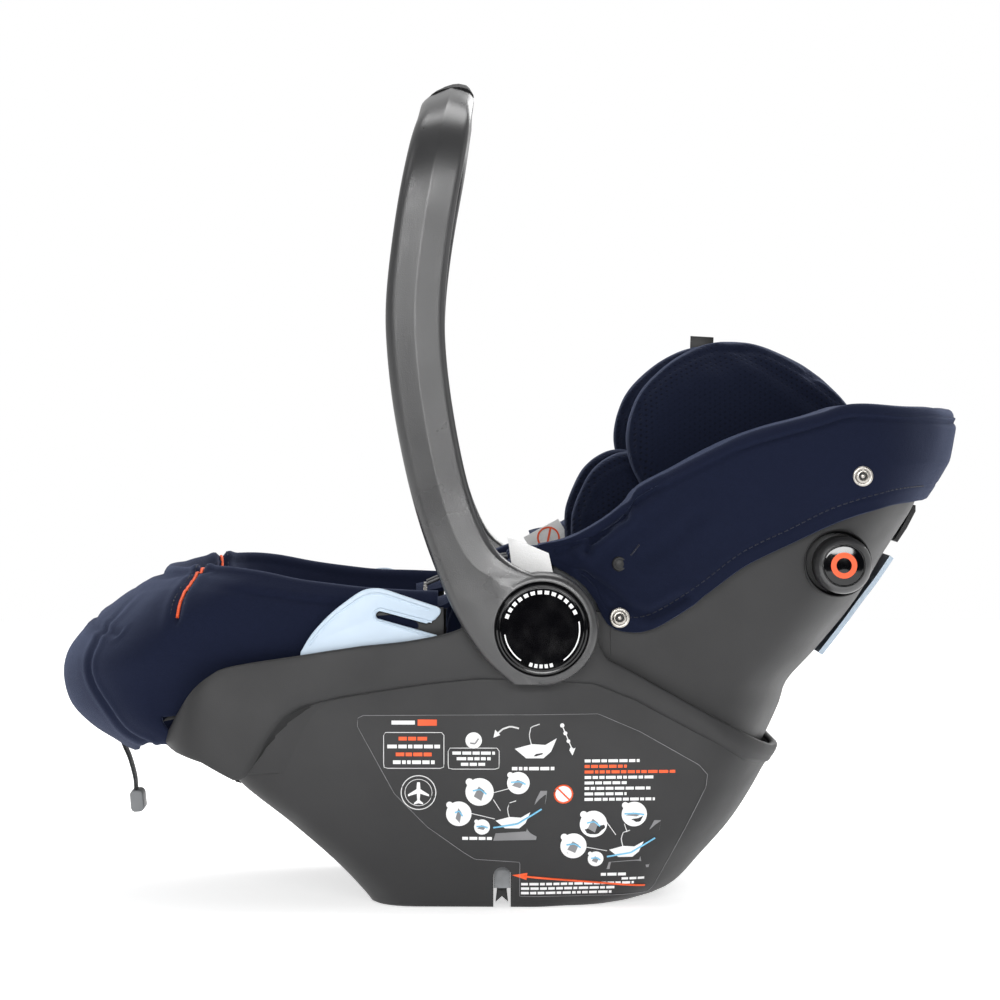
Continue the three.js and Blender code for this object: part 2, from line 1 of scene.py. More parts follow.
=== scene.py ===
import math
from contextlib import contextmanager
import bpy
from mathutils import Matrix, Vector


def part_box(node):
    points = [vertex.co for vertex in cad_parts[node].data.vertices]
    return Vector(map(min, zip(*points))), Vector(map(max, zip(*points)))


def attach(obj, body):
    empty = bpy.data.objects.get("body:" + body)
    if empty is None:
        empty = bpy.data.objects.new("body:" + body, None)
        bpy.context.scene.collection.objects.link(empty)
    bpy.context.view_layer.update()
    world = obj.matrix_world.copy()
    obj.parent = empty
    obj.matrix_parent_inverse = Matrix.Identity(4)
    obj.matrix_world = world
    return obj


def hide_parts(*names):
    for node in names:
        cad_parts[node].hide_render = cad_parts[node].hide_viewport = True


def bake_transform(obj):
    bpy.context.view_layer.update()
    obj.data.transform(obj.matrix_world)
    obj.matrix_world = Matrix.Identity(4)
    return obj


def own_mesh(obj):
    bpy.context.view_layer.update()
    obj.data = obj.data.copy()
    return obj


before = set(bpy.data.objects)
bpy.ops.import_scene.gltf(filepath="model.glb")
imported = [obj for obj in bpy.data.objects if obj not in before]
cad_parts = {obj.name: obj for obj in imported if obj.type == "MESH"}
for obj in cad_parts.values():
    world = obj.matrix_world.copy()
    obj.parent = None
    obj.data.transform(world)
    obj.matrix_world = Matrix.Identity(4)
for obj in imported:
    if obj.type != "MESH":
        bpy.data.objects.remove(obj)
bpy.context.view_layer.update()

# Infant car seat: the looks around its CAD frame. Outlines are in millimetres, as in the CAD model,
# and every mesh is made in metres. +X is the head end, +Z is up and +Y is the child's right.
from types import SimpleNamespace

import bmesh
import bpy
import numpy as np
from mathutils import Vector, noise
from mathutils.bvhtree import BVHTree

MM = 0.001
scene = bpy.context.scene

# ---- dimensions shared with the CAD model -------------------------------------------------------
WALL = 3.5  # of the base shell
ARM_INNER, ARM_OUTER = 197, 219
HUB = (20.5, 202.6)  # X, Z of the handle's axis
RECLINE = (-20, 228)  # X, Z of the line that the backrest turns about
BACK_START = (50, 112)  # X, Z of the lower end of the backrest surface
BACK_ANGLE = math.radians(40)
CAVITY_HALF = 129
POD = (231, 247)  # X, Z of the well, and of the dome in it
POD_DOME = (234, 246)
SHARP = 38  # degrees; edges sharper than this stay crisp
TINY = 1e-6


def arr(points):
    return np.array(points, float)


def ramp(value, start, width):
    """0 up to the start, rising to 1 over the width."""
    return np.clip((value - start) / width, 0, 1)


def bell(value, centre, width):
    return np.exp(-(((value - centre) / width) ** 2))


def ring_angles(count):
    return np.linspace(0, 2 * math.pi, count, endpoint=False)


def run_along(p):
    """Distance of each point of a line from its start."""
    return np.concatenate([[0], np.cumsum(np.linalg.norm(np.diff(p, axis=0), axis=1))])


def point_at(p, run, at):
    return np.stack([np.interp(at, run, p[:, k]) for k in range(p.shape[1])], -1)


def spline(points, count):
    """A Catmull-Rom curve through the points."""
    p = arr(points)
    last = len(p) - 1
    out = []
    for t in np.linspace(0, last, count + 1):
        i = min(int(t), last - 1)
        w = t - i
        a, b, c, d = p[max(i - 1, 0)], p[i], p[i + 1], p[min(i + 2, last)]
        v0, v1 = (c - a) / 2, (d - b) / 2
        out.append((2 * b - 2 * c + v0 + v1) * w**3 + (3 * c - 3 * b - 2 * v0 - v1) * w**2 + v0 * w + b)
    return arr(out)


def height_of(points):
    """Z as a function of X along an outline."""
    p = arr(sorted(map(tuple, points)))
    return lambda x: np.interp(x, p[:, 0], p[:, 1])


def resample(points, count, closed=False):
    """The line as even steps."""
    p = arr(points)
    if closed:
        p = np.vstack([p, p[:1]])
    run = run_along(p)
    return point_at(p, run, np.linspace(0, run[-1], count, endpoint=not closed))


def arc(centre, radius, start, stop, count):
    """Points of an arc; angles in degrees."""
    turn = np.radians(np.linspace(start, stop, count + 1))
    return np.stack([centre[0] + radius * np.cos(turn), centre[1] + radius * np.sin(turn)], 1)


def on_back(along, above):
    """A point in the side view, along the backrest surface and above it."""
    c, s = math.cos(BACK_ANGLE), math.sin(BACK_ANGLE)
    return (BACK_START[0] + along * c - above * s, BACK_START[1] + along * s + above * c)


def soften(ring, sigma, closed=True):
    """Gaussian smoothing along evenly spaced points."""
    reach = max(1, int(3 * sigma))
    k = np.exp(-0.5 * (np.arange(-reach, reach + 1) / sigma) ** 2)
    k /= k.sum()
    before, after = (ring[-reach:], ring[:reach]) if closed else \
        (np.repeat(ring[:1], reach, 0), np.repeat(ring[-1:], reach, 0))
    padded = np.concatenate([before, ring, after])
    return np.stack([np.convolve(padded[:, j], k, "valid") for j in range(ring.shape[1])], 1)


# ---- materials ----------------------------------------------------------------------------------
class Nodes:
    """A short way to write a node tree."""

    def __init__(self, name, **bsdf):
        self.material = bpy.data.materials.new(name)
        self.material.use_nodes = True
        self.tree = self.material.node_tree
        self.shader = self.tree.nodes["Principled BSDF"]
        self.where = self.add("ShaderNodeTexCoord").outputs["Object"]
        for key, value in bsdf.items():
            self.shader.inputs[key.replace("_", " ")].default_value = value

    def add(self, kind, settings=None, **inputs):
        """A node; inputs are given by name, or as i0, i1 and so on by number."""
        node = self.tree.nodes.new(kind)
        for key, value in (settings or {}).items():
            setattr(node, key, value)
        for key, value in inputs.items():
            numbered = key[0] == "i" and key[1:].isdigit()
            socket = node.inputs[int(key[1:]) if numbered else key.replace("_", " ")]
            if isinstance(value, bpy.types.NodeSocket):
                self.tree.links.new(value, socket)
            else:
                socket.default_value = value
        return node

    def noise(self, scale, detail):
        return self.add("ShaderNodeTexNoise", Vector=self.where, Scale=scale, Detail=detail).outputs["Fac"]

    def span(self, value, low, high, to_low=0.0, to_high=1.0):
        """The value's range from low to high spread over another range."""
        return self.add("ShaderNodeMapRange", Value=value, From_Min=low, From_Max=high, To_Min=to_low,
                        To_Max=to_high).outputs["Result"]

    def mix(self, fac, a, b):
        return self.add("ShaderNodeMix", {"data_type": "RGBA"}, i0=fac, i6=a, i7=b).outputs[2]

    def blotches(self, scale, detail, colour, dark, pale, low=0.35, high=0.65):
        """The colour, unevenly darker and paler."""
        return self.mix(self.span(self.noise(scale, detail), low, high), shade_of(colour, dark),
                        shade_of(colour, pale))

    def waves(self, ways, pitch):
        """Three crossing cosine waves: a pattern of round cells."""
        a, b, c = (self.math("COSINE", self.math("MULTIPLY", self.dot(way), 2 * math.pi / pitch))
                   for way in ways)
        return self.math("ADD", self.math("ADD", a, b), c)

    def math(self, operation, a, b=0.0):
        return self.add("ShaderNodeMath", {"operation": operation}, i0=a, i1=b).outputs[0]

    def dot(self, direction):
        return self.add("ShaderNodeVectorMath", {"operation": "DOT_PRODUCT"}, i0=self.where,
                        i1=direction).outputs["Value"]

    def link(self, value, socket):
        self.tree.links.new(value, self.shader.inputs[socket])

    def bump(self, height, strength, distance):
        self.link(self.add("ShaderNodeBump", Height=height, Strength=strength,
                           Distance=distance).outputs["Normal"], "Normal")


def shade_of(colour, factor):
    return tuple(min(1.0, c * factor) for c in colour) + (1.0,)


def linear(red, green, blue):
    """Screen colour, 0 to 255, as linear light."""
    return tuple(((c / 255 + 0.055) / 1.055) ** 2.4 if c > 10 else c / 255 / 12.92
                 for c in (red, green, blue))


def plastic(name, colour, rough, specular=0.4):
    """Moulded plastic: spark-eroded grain, faint blotches of gloss and paler, and a painted highlight on
    convex edges.
    """
    n = Nodes(name, Roughness=rough, Specular_IOR_Level=specular)
    tint = n.blotches(9, 3, colour, 0.93, 1.07, 0.3, 0.7)
    # Painted highlight: convex edges, found by pointiness, are made paler in uneven patches.
    edge = n.span(n.add("ShaderNodeNewGeometry").outputs["Pointiness"], 0.52, 0.62)
    painted_edge_highlight = n.math("MULTIPLY", edge, n.span(n.noise(60, 3), 0.35, 0.65))
    n.link(n.mix(painted_edge_highlight, tint, shade_of(colour, 1.5)), "Base Color")
    n.link(n.span(n.noise(25, 4), 0.3, 0.7, rough - 0.05, rough + 0.06), "Roughness")
    n.bump(n.noise(1500, 2), 0.35, 0.0002)
    return n.material


def fabric(name, colour, sheen=0.35, knit=0.0, heather=0.16):
    """Woven or knitted cover cloth. knit is the pitch of the spacer-mesh cells in metres, or none."""
    n = Nodes(name, Roughness=0.92, Sheen_Weight=sheen, Sheen_Roughness=0.45, Specular_IOR_Level=0.15)
    n.shader.inputs["Sheen Tint"].default_value = (0.45, 0.55, 0.9, 1)
    yarn = n.noise(1100, 2)
    melange = n.mix(n.span(yarn, 0.3, 0.7), shade_of(colour, 1 - heather), shade_of(colour, 1 + heather))
    cloth = n.mix(0.5, melange, n.blotches(7, 2, colour, 0.9, 1.1))
    if knit:
        cells = n.waves(((1, 0.45, 0), (-0.5, 0.45, 0.866), (-0.5, -0.45, -0.866)), knit)
        hole = n.span(cells, 0.8, 2.6)
        n.link(n.mix(hole, cloth, shade_of(colour, 0.45)), "Base Color")
        n.bump(n.math("SUBTRACT", n.math("MULTIPLY", yarn, 0.4), hole), 0.55, 0.0006)
    else:
        n.link(cloth, "Base Color")
        weave = n.math("ADD", n.noise(1700, 1), n.math("MULTIPLY", n.noise(420, 3), 0.6))
        n.bump(weave, 0.5, 0.00045)
    return n.material


def webbing_cloth(name, colour):
    """Narrow woven strap: ribs across, finer ones along."""
    n = Nodes(name, Roughness=0.75, Sheen_Weight=0.2, Specular_IOR_Level=0.3)
    ribs = n.math("SINE", n.math("MULTIPLY", n.dot((1, 0, 1)), 2 * math.pi / 0.0018))
    edge = n.math("SINE", n.math("MULTIPLY", n.dot((0, 1, 0)), 2 * math.pi / 0.0024))
    both = n.math("ADD", n.math("MULTIPLY", ribs, 0.5), n.math("MULTIPLY", edge, 0.4))
    n.link(n.mix(n.span(both, -0.9, 0.9), shade_of(colour, 0.75), shade_of(colour, 1.25)), "Base Color")
    n.bump(both, 0.5, 0.0004)
    return n.material


def metal(name, colour, rough):
    n = Nodes(name, Metallic=1.0, Roughness=rough)
    n.link(n.blotches(40, 4, colour, 0.85, 1.08), "Base Color")
    n.link(n.span(n.noise(300, 3), 0.3, 0.7, rough - 0.06, rough + 0.08), "Roughness")
    return n.material


def glossy(name, colour, rough, speck=0.15):
    """Smooth plastic with faint dust and swirl."""
    n = Nodes(name, Roughness=rough, Specular_IOR_Level=0.5)
    n.link(n.blotches(30, 3, colour, 1 - speck, 1 + speck), "Base Color")
    n.link(n.span(n.noise(90, 4), 0.35, 0.7, rough, rough + 0.08), "Roughness")
    return n.material


def dotted_rubber(name, colour, pitch):
    """Soft grip with small raised dots in a hexagonal pattern."""
    n = Nodes(name, Roughness=0.7, Specular_IOR_Level=0.3)
    dots = n.span(n.waves(((0, 1, 0.5), (0.866, -0.5, 0.3), (-0.866, -0.5, 0.3)), pitch), 0.6, 1.6)
    n.link(n.mix(dots, shade_of(colour, 0.8), shade_of(colour, 1.5)), "Base Color")
    n.bump(dots, 0.8, 0.0006)
    return n.material


SHELL = plastic("shell_plastic", linear(36, 36, 37), 0.55, specular=0.45)
HANDLE = plastic("handle_plastic", linear(50, 50, 51), 0.3, specular=0.75)
INSERT = plastic("insert_plastic", linear(120, 122, 124), 0.5)
BLACK = plastic("black_plastic", linear(22, 22, 23), 0.45)
GLOSS = glossy("black_gloss", linear(5, 5, 7), 0.05, speck=0.0)
GUIDE_SKIN = glossy("guide_plastic", linear(186, 203, 219), 0.35, speck=0.02)
GRIP = dotted_rubber("grip_rubber", linear(38, 38, 39), 0.0026)
NICKEL = metal("steel", (0.42, 0.4, 0.37), 0.3)
NAVY = fabric("navy_fabric", linear(16, 22, 42), sheen=0.16)
KNIT = fabric("navy_knit", linear(15, 21, 39), sheen=0.16, knit=0.0036)
FOAM = fabric("foam", linear(86, 88, 90), sheen=0.0, heather=0.08)
WEB = webbing_cloth("webbing", linear(46, 48, 52))
RED = glossy("red_plastic", linear(188, 40, 32), 0.35)
ORANGE = glossy("orange_print", linear(240, 90, 38), 0.5)
WHITE = glossy("white_print", linear(232, 232, 232), 0.55, speck=0.03)
SKY = glossy("blue_print", linear(120, 190, 225), 0.55, speck=0.05)
ASH = glossy("grey_print", linear(128, 128, 130), 0.55)
LABEL = fabric("label_cloth", linear(253, 253, 251), sheen=0.1, heather=0.04)
THREAD = webbing_cloth("thread", linear(20, 24, 40))


# ---- meshes -------------------------------------------------------------------------------------
def new_object(name, data):
    obj = bpy.data.objects.new(name, data)
    scene.collection.objects.link(obj)
    return obj


@contextmanager
def editing(mesh):
    bm = bmesh.new()
    bm.from_mesh(mesh)
    yield bm
    bm.to_mesh(mesh)
    bm.free()


def object_from(name, verts, faces, material, sharp=SHARP):
    mesh = bpy.data.meshes.new(name)
    mesh.from_pydata([tuple(v) for v in arr(verts) * MM], [], [tuple(map(int, f)) for f in faces])
    mesh.materials.append(material)
    obj = new_object(name, mesh)
    with editing(mesh) as bm:
        bmesh.ops.remove_doubles(bm, verts=bm.verts, dist=TINY)
        bmesh.ops.recalc_face_normals(bm, faces=bm.faces)
    shade(obj, sharp)
    return obj


def shade(obj, sharp=SHARP):
    """Smooth shading with edges sharper than the angle kept crisp."""
    limit = math.radians(sharp)
    with editing(obj.data) as bm:
        for face in bm.faces:
            face.smooth = True
        for edge in bm.edges:
            edge.smooth = len(edge.link_faces) == 2 and edge.calc_face_angle(0.0) < limit


def tube(name, rings, material, sharp=SHARP, loop=False):
    """A closed body through rings of points; open ends are capped."""
    rings = arr(rings)
    nu, nv = rings.shape[:2]
    faces = []
    for u in range(nu if loop else nu - 1):
        for v in range(nv):
            v2, u2 = (v + 1) % nv, (u + 1) % nu
            faces.append((u * nv + v, u * nv + v2, u2 * nv + v2, u2 * nv + v))
    if not loop:
        faces += [tuple(range(nv)), tuple(range((nu - 1) * nv, nu * nv))]
    return object_from(name, rings.reshape(-1, 3), faces, material, sharp)


def flipped(half):
    """3-D points mirrored to the other side."""
    return arr(half) * (1, -1, 1)


def turned(centre, radius, y, angle):
    """A point round a line along Y through the centre."""
    return (centre[0] + radius * math.cos(angle), y, centre[1] + radius * math.sin(angle))


def lathe(name, centre, profile, material, steps=72, side=1, sharp=30):
    """Turns (radius, |Y|) points about a line along Y through the centre."""
    rings = [[turned(centre, r, side * y, t) for t in ring_angles(steps)] for r, y in profile]
    return tube(name, rings, material, sharp)


def prism(name, outline, y0, y1, material, bevel=0.8, segments=3):
    """A side-view outline (X, Z) carried across from y0 to y1, with rounded edges."""
    p = arr(outline)
    n = len(p)
    verts = [(x, y, z) for y in (y0, y1) for x, z in p]
    faces = [tuple(range(n)), tuple(range(n, 2 * n))]
    faces += [(i, (i + 1) % n, n + (i + 1) % n, n + i) for i in range(n)]
    obj = object_from(name, verts, faces, material)
    if bevel:
        add_bevel(obj, bevel, segments)
        apply_modifiers(obj)
        shade(obj, 45)
    return obj


def add_bevel(obj, width, segments):
    m = obj.modifiers.new("round", "BEVEL")
    m.width = width * MM
    m.segments = segments
    m.limit_method = "ANGLE"
    m.angle_limit = math.radians(30)


def apply_modifiers(obj):
    graph = bpy.context.evaluated_depsgraph_get()
    mesh = bpy.data.meshes.new_from_object(obj.evaluated_get(graph))
    old = obj.data
    obj.modifiers.clear()
    obj.data = mesh
    mesh.name = obj.name
    bpy.data.meshes.remove(old)


def boolean(obj, tool, operation="DIFFERENCE", sharp=SHARP):
    """Cuts the tool out of a piece, or unites them; the tool is used up."""
    m = obj.modifiers.new("cut", "BOOLEAN")
    m.object = tool
    m.operation = operation
    m.solver = "MANIFOLD"
    apply_modifiers(obj)
    bpy.data.objects.remove(tool)
    shade(obj, sharp)


def mirrored(obj, name):
    """The same piece on the other side of the car seat."""
    copy = new_object(name, obj.data.copy())
    with editing(copy.data) as bm:
        for vert in bm.verts:
            vert.co.y = -vert.co.y
        bmesh.ops.reverse_faces(bm, faces=bm.faces)
    return copy


def place(obj, body, slot, *replaced):
    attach(obj, body)
    if replaced:
        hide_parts(*replaced)
    return obj


def place_pair(obj, body, slot, *replaced, bodies=None):
    """The piece as built at +Y and its mirror image; replaced names are given without their side."""
    stem = obj.name.removesuffix("_right")
    other = mirrored(obj, f"{stem}_left")
    obj.name = f"{stem}_right"
    for piece, side in ((obj, "right"), (other, "left")):
        place(piece, bodies[side] if bodies else body, slot, *(f"{n}_{side}" for n in replaced))
    return obj, other


def join(name, pieces):
    """Several small meshes of one material as one object."""
    bm = bmesh.new()
    for piece in pieces:
        bm.from_mesh(piece.data)
    mesh = bpy.data.meshes.new(name)
    bm.to_mesh(mesh)
    bm.free()
    mesh.materials.append(pieces[0].data.materials[0])
    for piece in pieces:
        bpy.data.objects.remove(piece)
    return new_object(name, mesh)


def cord_tube(name, path, radius, material, sides=8, loop=False):
    """A round tube along a path of 3-D points, for piping, thread and wire."""
    p = arr(path)
    rings = []
    up = Vector((0.31, 0.22, 0.92))  # along none of the paths
    for i in range(len(p)):
        ahead = p[(i + 1) % len(p)] if loop else p[min(i + 1, len(p) - 1)]
        behind = p[i - 1] if loop or i else p[0]
        along = Vector(ahead - behind).normalized()
        side = along.cross(up).normalized()
        over = side.cross(along)
        rings.append([p[i] + radius * (math.cos(t) * arr(side) + math.sin(t) * arr(over))
                      for t in ring_angles(sides)])
    return tube(name, rings, material, 60, loop)


def stitches(name, path, length=3.0, gap=1.6, radius=0.38):
    """A row of thread stitches along a path of 3-D points."""
    p = arr(path)
    run = run_along(p)
    pieces = []
    start = gap
    while start + length < run[-1]:
        line = [point_at(p, run, start + length * k / 4) for k in range(5)]
        pieces.append(cord_tube("stitch", line, radius, THREAD, 6))
        start += length + gap
    return join(name, pieces)


# ---- camera, floor and light --------------------------------------------------------------------
camera = new_object("camera", bpy.data.cameras.new("camera"))
camera.location = (-0.046, -3.1, 0.357)
camera.data.lens = 148.8
LOOK_AT = Vector((-0.006, 0, 0.288))
camera.rotation_euler = (LOOK_AT - camera.location).to_track_quat("-Z", "Y").to_euler()
scene.camera = camera
scene.view_settings.view_transform = "Standard"


def studio():
    bpy.ops.mesh.primitive_plane_add(size=6, location=(0, 0.8, -0.0005))
    floor = bpy.context.object
    floor.name = "floor"
    n = Nodes("floor", Roughness=0.9, Emission_Strength=0.62)
    n.shader.inputs["Emission Color"].default_value = (1, 1, 1, 1)
    n.link(n.mix(n.span(n.noise(3, 2), 0.3, 0.7), (0.93, 0.93, 0.93, 1), (0.96, 0.96, 0.96, 1)),
           "Base Color")
    floor.data.materials.append(n.material)
    world = bpy.data.worlds.new("studio")
    world.use_nodes = True
    tree = world.node_tree
    seen = tree.nodes.new("ShaderNodeLightPath").outputs["Is Camera Ray"]
    # The room is white behind and above the object and dark behind the camera.
    way = tree.nodes.new("ShaderNodeTexCoord").outputs["Generated"]
    split = tree.nodes.new("ShaderNodeSeparateXYZ")
    tree.links.new(way, split.inputs[0])
    room = tree.nodes.new("ShaderNodeMapRange")
    for name, value in (("From Min", -0.8), ("From Max", 0.25), ("To Min", 0.03), ("To Max", 0.75)):
        room.inputs[name].default_value = value
    tree.links.new(split.outputs["Y"], room.inputs["Value"])
    strength = tree.nodes.new("ShaderNodeMix")
    strength.inputs["B"].default_value = 1.0
    tree.links.new(seen, strength.inputs["Factor"])
    tree.links.new(room.outputs["Result"], strength.inputs["A"])
    tree.links.new(strength.outputs["Result"], tree.nodes["Background"].inputs["Strength"])
    tree.nodes["Background"].inputs["Color"].default_value = (1, 1, 1, 1)
    scene.world = world
    for name, place_at, size, power in (
        ("key", (-1.6, -1.6, 1.6), (0.9, 0.9), 4), ("front", (-0.1, -3.5, 0.93), (2.2, 0.5), 62),
        ("fill", (2.0, -1.0, 0.9), (0.9, 0.9), 3), ("top", (0.1, 0.2, 2.4), (1.4, 1.4), 30),
        ("rim", (1.1, 2.0, 1.5), (1.2, 1.2), 24),
    ):
        light = new_object(name, bpy.data.lights.new(name, "AREA"))
        light.data.shape = "RECTANGLE"
        light.data.size, light.data.size_y = size
        light.data.energy = power
        light.location = place_at
        light.rotation_euler = (Vector((0, 0, 0.25)) - light.location).to_track_quat("-Z", "Y").to_euler()


studio()


# ---- plan outlines ------------------------------------------------------------------------------
BASE_ROUND = SimpleNamespace(x_mid=20, front_x=30, front_y=40, rear_x=56, rear_y=115)
BAND_ROUND = SimpleNamespace(x_mid=20, front_x=34, front_y=125, rear_x=56, rear_y=115)
BACK_ROUND = SimpleNamespace(x_mid=20, front_x=30, front_y=30, rear_x=58, rear_y=125)


def half_plan(row, r):
    """Half a plan outline, rear centre round to front centre.

    A row holds the front and rear X and the half widths at the front, middle and rear.
    """
    front, rear, w_front, w_mid, w_rear = row
    t = np.linspace(0, math.pi / 2, 24)
    s, c = 1 - np.sin(t), 1 - np.cos(t)
    rear_corner = np.stack([rear - r.rear_x * c, w_rear - r.rear_y * s], 1)
    front_corner = np.stack([front + r.front_x * s, w_front - r.front_y * c], 1)
    return np.vstack([[(rear, 0)], rear_corner, [(r.x_mid, w_mid)], front_corner, [(front, 0)]])


def even_plan(row, r, count, sigma=2.0):
    """The same half outline as count + 1 even steps, its corners softened."""
    half = resample(half_plan(row, r), count + 1)
    ring = np.vstack([half, (half * (1, -1))[-2:0:-1]])
    return soften(ring, sigma)[:count + 1]


def row_at(rows, z):
    rows = arr(rows)
    return [np.interp(z, rows[:, 0], rows[:, k]) for k in range(1, rows.shape[1])]


def settle(z, target, rounds=40):
    """The height at which a sloping wall meets an edge line."""
    for _ in range(rounds):
        z = 0.5 * z + 0.5 * target(z)
    return z


def full_ring(half):
    """Adds the mirror image of a half ring of 3-D points; both ends are on the centre plane."""
    return np.vstack([half, flipped(half)[-2:0:-1]])


# ---- base shell ---------------------------------------------------------------------------------
FLOOR, RECESS = 30, 26.5
LOWER = spline([  # Z, then a row for half_plan
    [0, -100, 99, 147, 151, 141], [8, -106, 122, 149, 154, 145], [30, -126, 142, 158, 166, 156],
    [59, -158, 165, 168, 178, 170], [92, -197, 184.5, 178, 185, 176], [115, -205, 194, 181, 188, 177],
    [170, -205, 194, 184, 191, 177]], 80)
BAND_ROW = [-256, 195.5, 193, 195, 179.5]
BAND_TOP = height_of(spline([
    (-256, 120), (-250, 121.5), (-245, 127), (-240, 136), (-235, 145), (-226, 158.5), (-215, 168),
    (-200, 175), (-150, 183), (-110, 189), (-74, 193), (-44, 199), (-20, 208), (20, 214), (50, 208),
    (61, 193), (66, 182), (90, 169), (165, 127), (190, 114)], 200))
BAND_BOTTOM = height_of([
    (194, 108), (188, 101), (168, 106), (145, 120), (90, 150), (60, 162), (20, 165), (-23, 166),
    (-59, 162.5), (-91, 158), (-123, 153), (-152, 146), (-164, 138), (-174, 125), (-183, 110), (-189, 99),
    (-197, 93.5), (-206, 98), (-221, 106.5), (-240, 112), (-251, 117)])
NOTCH = SimpleNamespace(x=-6.5, half=6.2, spring=24)
BASE_STEPS = 170  # round half of the base
BAND_EDGE = 1.7  # radius of the band's top edge


def inset_row(row, wall, ends=1.3):
    """The row drawn in by the wall; ends thickens it at front and rear."""
    front, rear, *widths = row
    return [front + wall * ends, rear - wall * ends] + [w - wall for w in widths]


def base_shell():
    count = BASE_STEPS
    lower = lambda z, wall=0: even_plan(inset_row(row_at(LOWER, z), wall, 1.5), BASE_ROUND, count)
    band = even_plan(BAND_ROW, BAND_ROUND, count)
    band_in = even_plan(inset_row(BAND_ROW, WALL), BAND_ROUND, count)
    band_low = even_plan(inset_row(BAND_ROW, 4), BAND_ROUND, count)
    levels = np.linspace(0, 172, 60)
    walls = arr([lower(z) for z in levels])
    inner_walls = arr([lower(z, WALL) for z in levels])

    def on_wall(stack, i, z):
        return [np.interp(z, levels, stack[:, i, k]) for k in (0, 1)]

    rim_in, rim_mid = lower(0, 5), lower(0, 1.2)
    rings = []
    for i in range(count + 1):
        join_z = settle(150.0, lambda z: BAND_BOTTOM(on_wall(walls, i, z)[0]) + 1, 30)
        column = [(*rim_in[i], RECESS), (*rim_in[i], 1), (*rim_in[i], 0), (*rim_mid[i], 0)]
        for z in np.linspace(1.2, join_z, 34):
            column.append((*on_wall(walls, i, z), z))
        low, top = BAND_BOTTOM(band[i, 0]), BAND_TOP(band[i, 0])
        fillet = min(4.0, 0.35 * (top - low))
        for turn in np.linspace(0, math.pi / 2, 5):
            k = math.sin(turn)
            column.append((*(band_low[i] * (1 - k) + band[i] * k), low + fillet * (1 - math.cos(turn))))
        for z in np.linspace(low + fillet, top - BAND_EDGE, 9)[1:]:
            bulge = 0.9 * math.sin(math.pi * (z - low) / (top - low + TINY))
            out = (band[i] - band_in[i]) / WALL * bulge
            column.append((*(band[i] + out), z))
        for turn in np.linspace(0, math.pi, 7)[1:-1]:
            k = 0.5 - 0.5 * math.cos(turn)
            column.append((*(band[i] * (1 - k) + band_in[i] * k),
                           top - BAND_EDGE + BAND_EDGE * math.sin(turn)))
        ledge = low + 0.5 * min(8.0, top - low)
        for z in np.linspace(top - BAND_EDGE, ledge, 5):
            column.append((*band_in[i], z))
        for z in np.linspace(min(join_z, ledge), FLOOR, 8):
            column.append((*on_wall(inner_walls, i, z), z))
        rings.append(column)
    columns = arr(rings).transpose(1, 0, 2)
    obj = tube("base_skin", [full_ring(ring) for ring in columns], SHELL, 32)
    for side in (-1, 1):
        boss = lathe("boss", HUB, [(37, 187.5), (37, 195.6), (36.2, 196.4), (14.3, 196.4), (14.3, 187.5)],
                     SHELL, side=side)
        arch = np.vstack([[(NOTCH.x + NOTCH.half, -3)], arc((NOTCH.x, NOTCH.spring), NOTCH.half, 0, 180, 14),
                          [(NOTCH.x - NOTCH.half, -3)]])
        y = sorted((side * 138, side * 175))
        boolean(obj, prism("arch", arch, *y, SHELL, bevel=0))
        boolean(obj, boss, "UNION")
        y = sorted((side * 186.5, side * 192.5))
        ear = np.vstack([[(-36, 198), (-36, 206), (-33, 232)], arc(RECLINE, 13, 160, 0, 14), [(-4, 198)]])
        boolean(obj, prism("ear", ear, *y, SHELL, 1.2), "UNION")
    return obj


BASE_LEVELS = np.arange(0, 172, 2.0)
BASE_SIDES = [even_plan(row_at(LOWER, z), BASE_ROUND, 300) for z in BASE_LEVELS]


def base_side(x, z):
    """Half width of the lower base at a point of its side."""
    k = min(max(z / 2.0, 0), len(BASE_LEVELS) - 1.001)
    i = int(k)
    below, above = (np.interp(x, *ring[::-1].T) for ring in BASE_SIDES[i:i + 2])
    return below * (1 - k + i) + above * (k - i)


place(base_shell(), "base", "shell_plastic", "base_shell")

# ---- back shell ---------------------------------------------------------------------------------
BACK_ARC = 236
BACK_ROWS = [[z, -60, RECLINE[0] + math.sqrt(BACK_ARC**2 - (RECLINE[1] - z) ** 2), 180, 182, 168.6]
             for z in (95, 117, 141, 158)] + [
    [182, -60, 227, 180, 182, 170.2], [216, -60, 254, 180, 182, 175], [250, -60, 274, 180, 183, 178],
    [269, -60, 286, 180, 183, 180], [290, -60, 298, 180, 183, 182], [325, -60, 308, 180, 183, 183]]
BACK = spline(BACK_ROWS, 80)
RIM_BOTTOM_LINE = spline([(72.5, 200.5), (80, 198.6), (93, 199), (108, 206), (132, 222), (163, 245),
                          (194, 260), (225, 275), (256, 285), (285, 290), (345, 290)], 120)
RIM_TOP_LINE = spline([(345, 357), (320, 356), (277, 358), (238, 360), (213, 353), (166, 340), (143, 330),
                       (114, 315), (89, 301), (81, 291), (60, 275), (40, 265), (19, 260)], 140)
RIM_FRONT_EDGE = [(19, 259), (28, 247), (34, 243), (44, 238), (53, 230.5), (59.5, 220), (63, 211),
                  (67.5, 204), (72.5, 200.5)]
RIM_BOTTOM = height_of(RIM_FRONT_EDGE[:-1] + [tuple(p) for p in RIM_BOTTOM_LINE])
RIM_TOP = height_of(RIM_TOP_LINE)
BACK_LOWER_EDGE = height_of([(62, 176), (72, 165), (90, 157), (165, 115), (176, 104), (400, 104)])


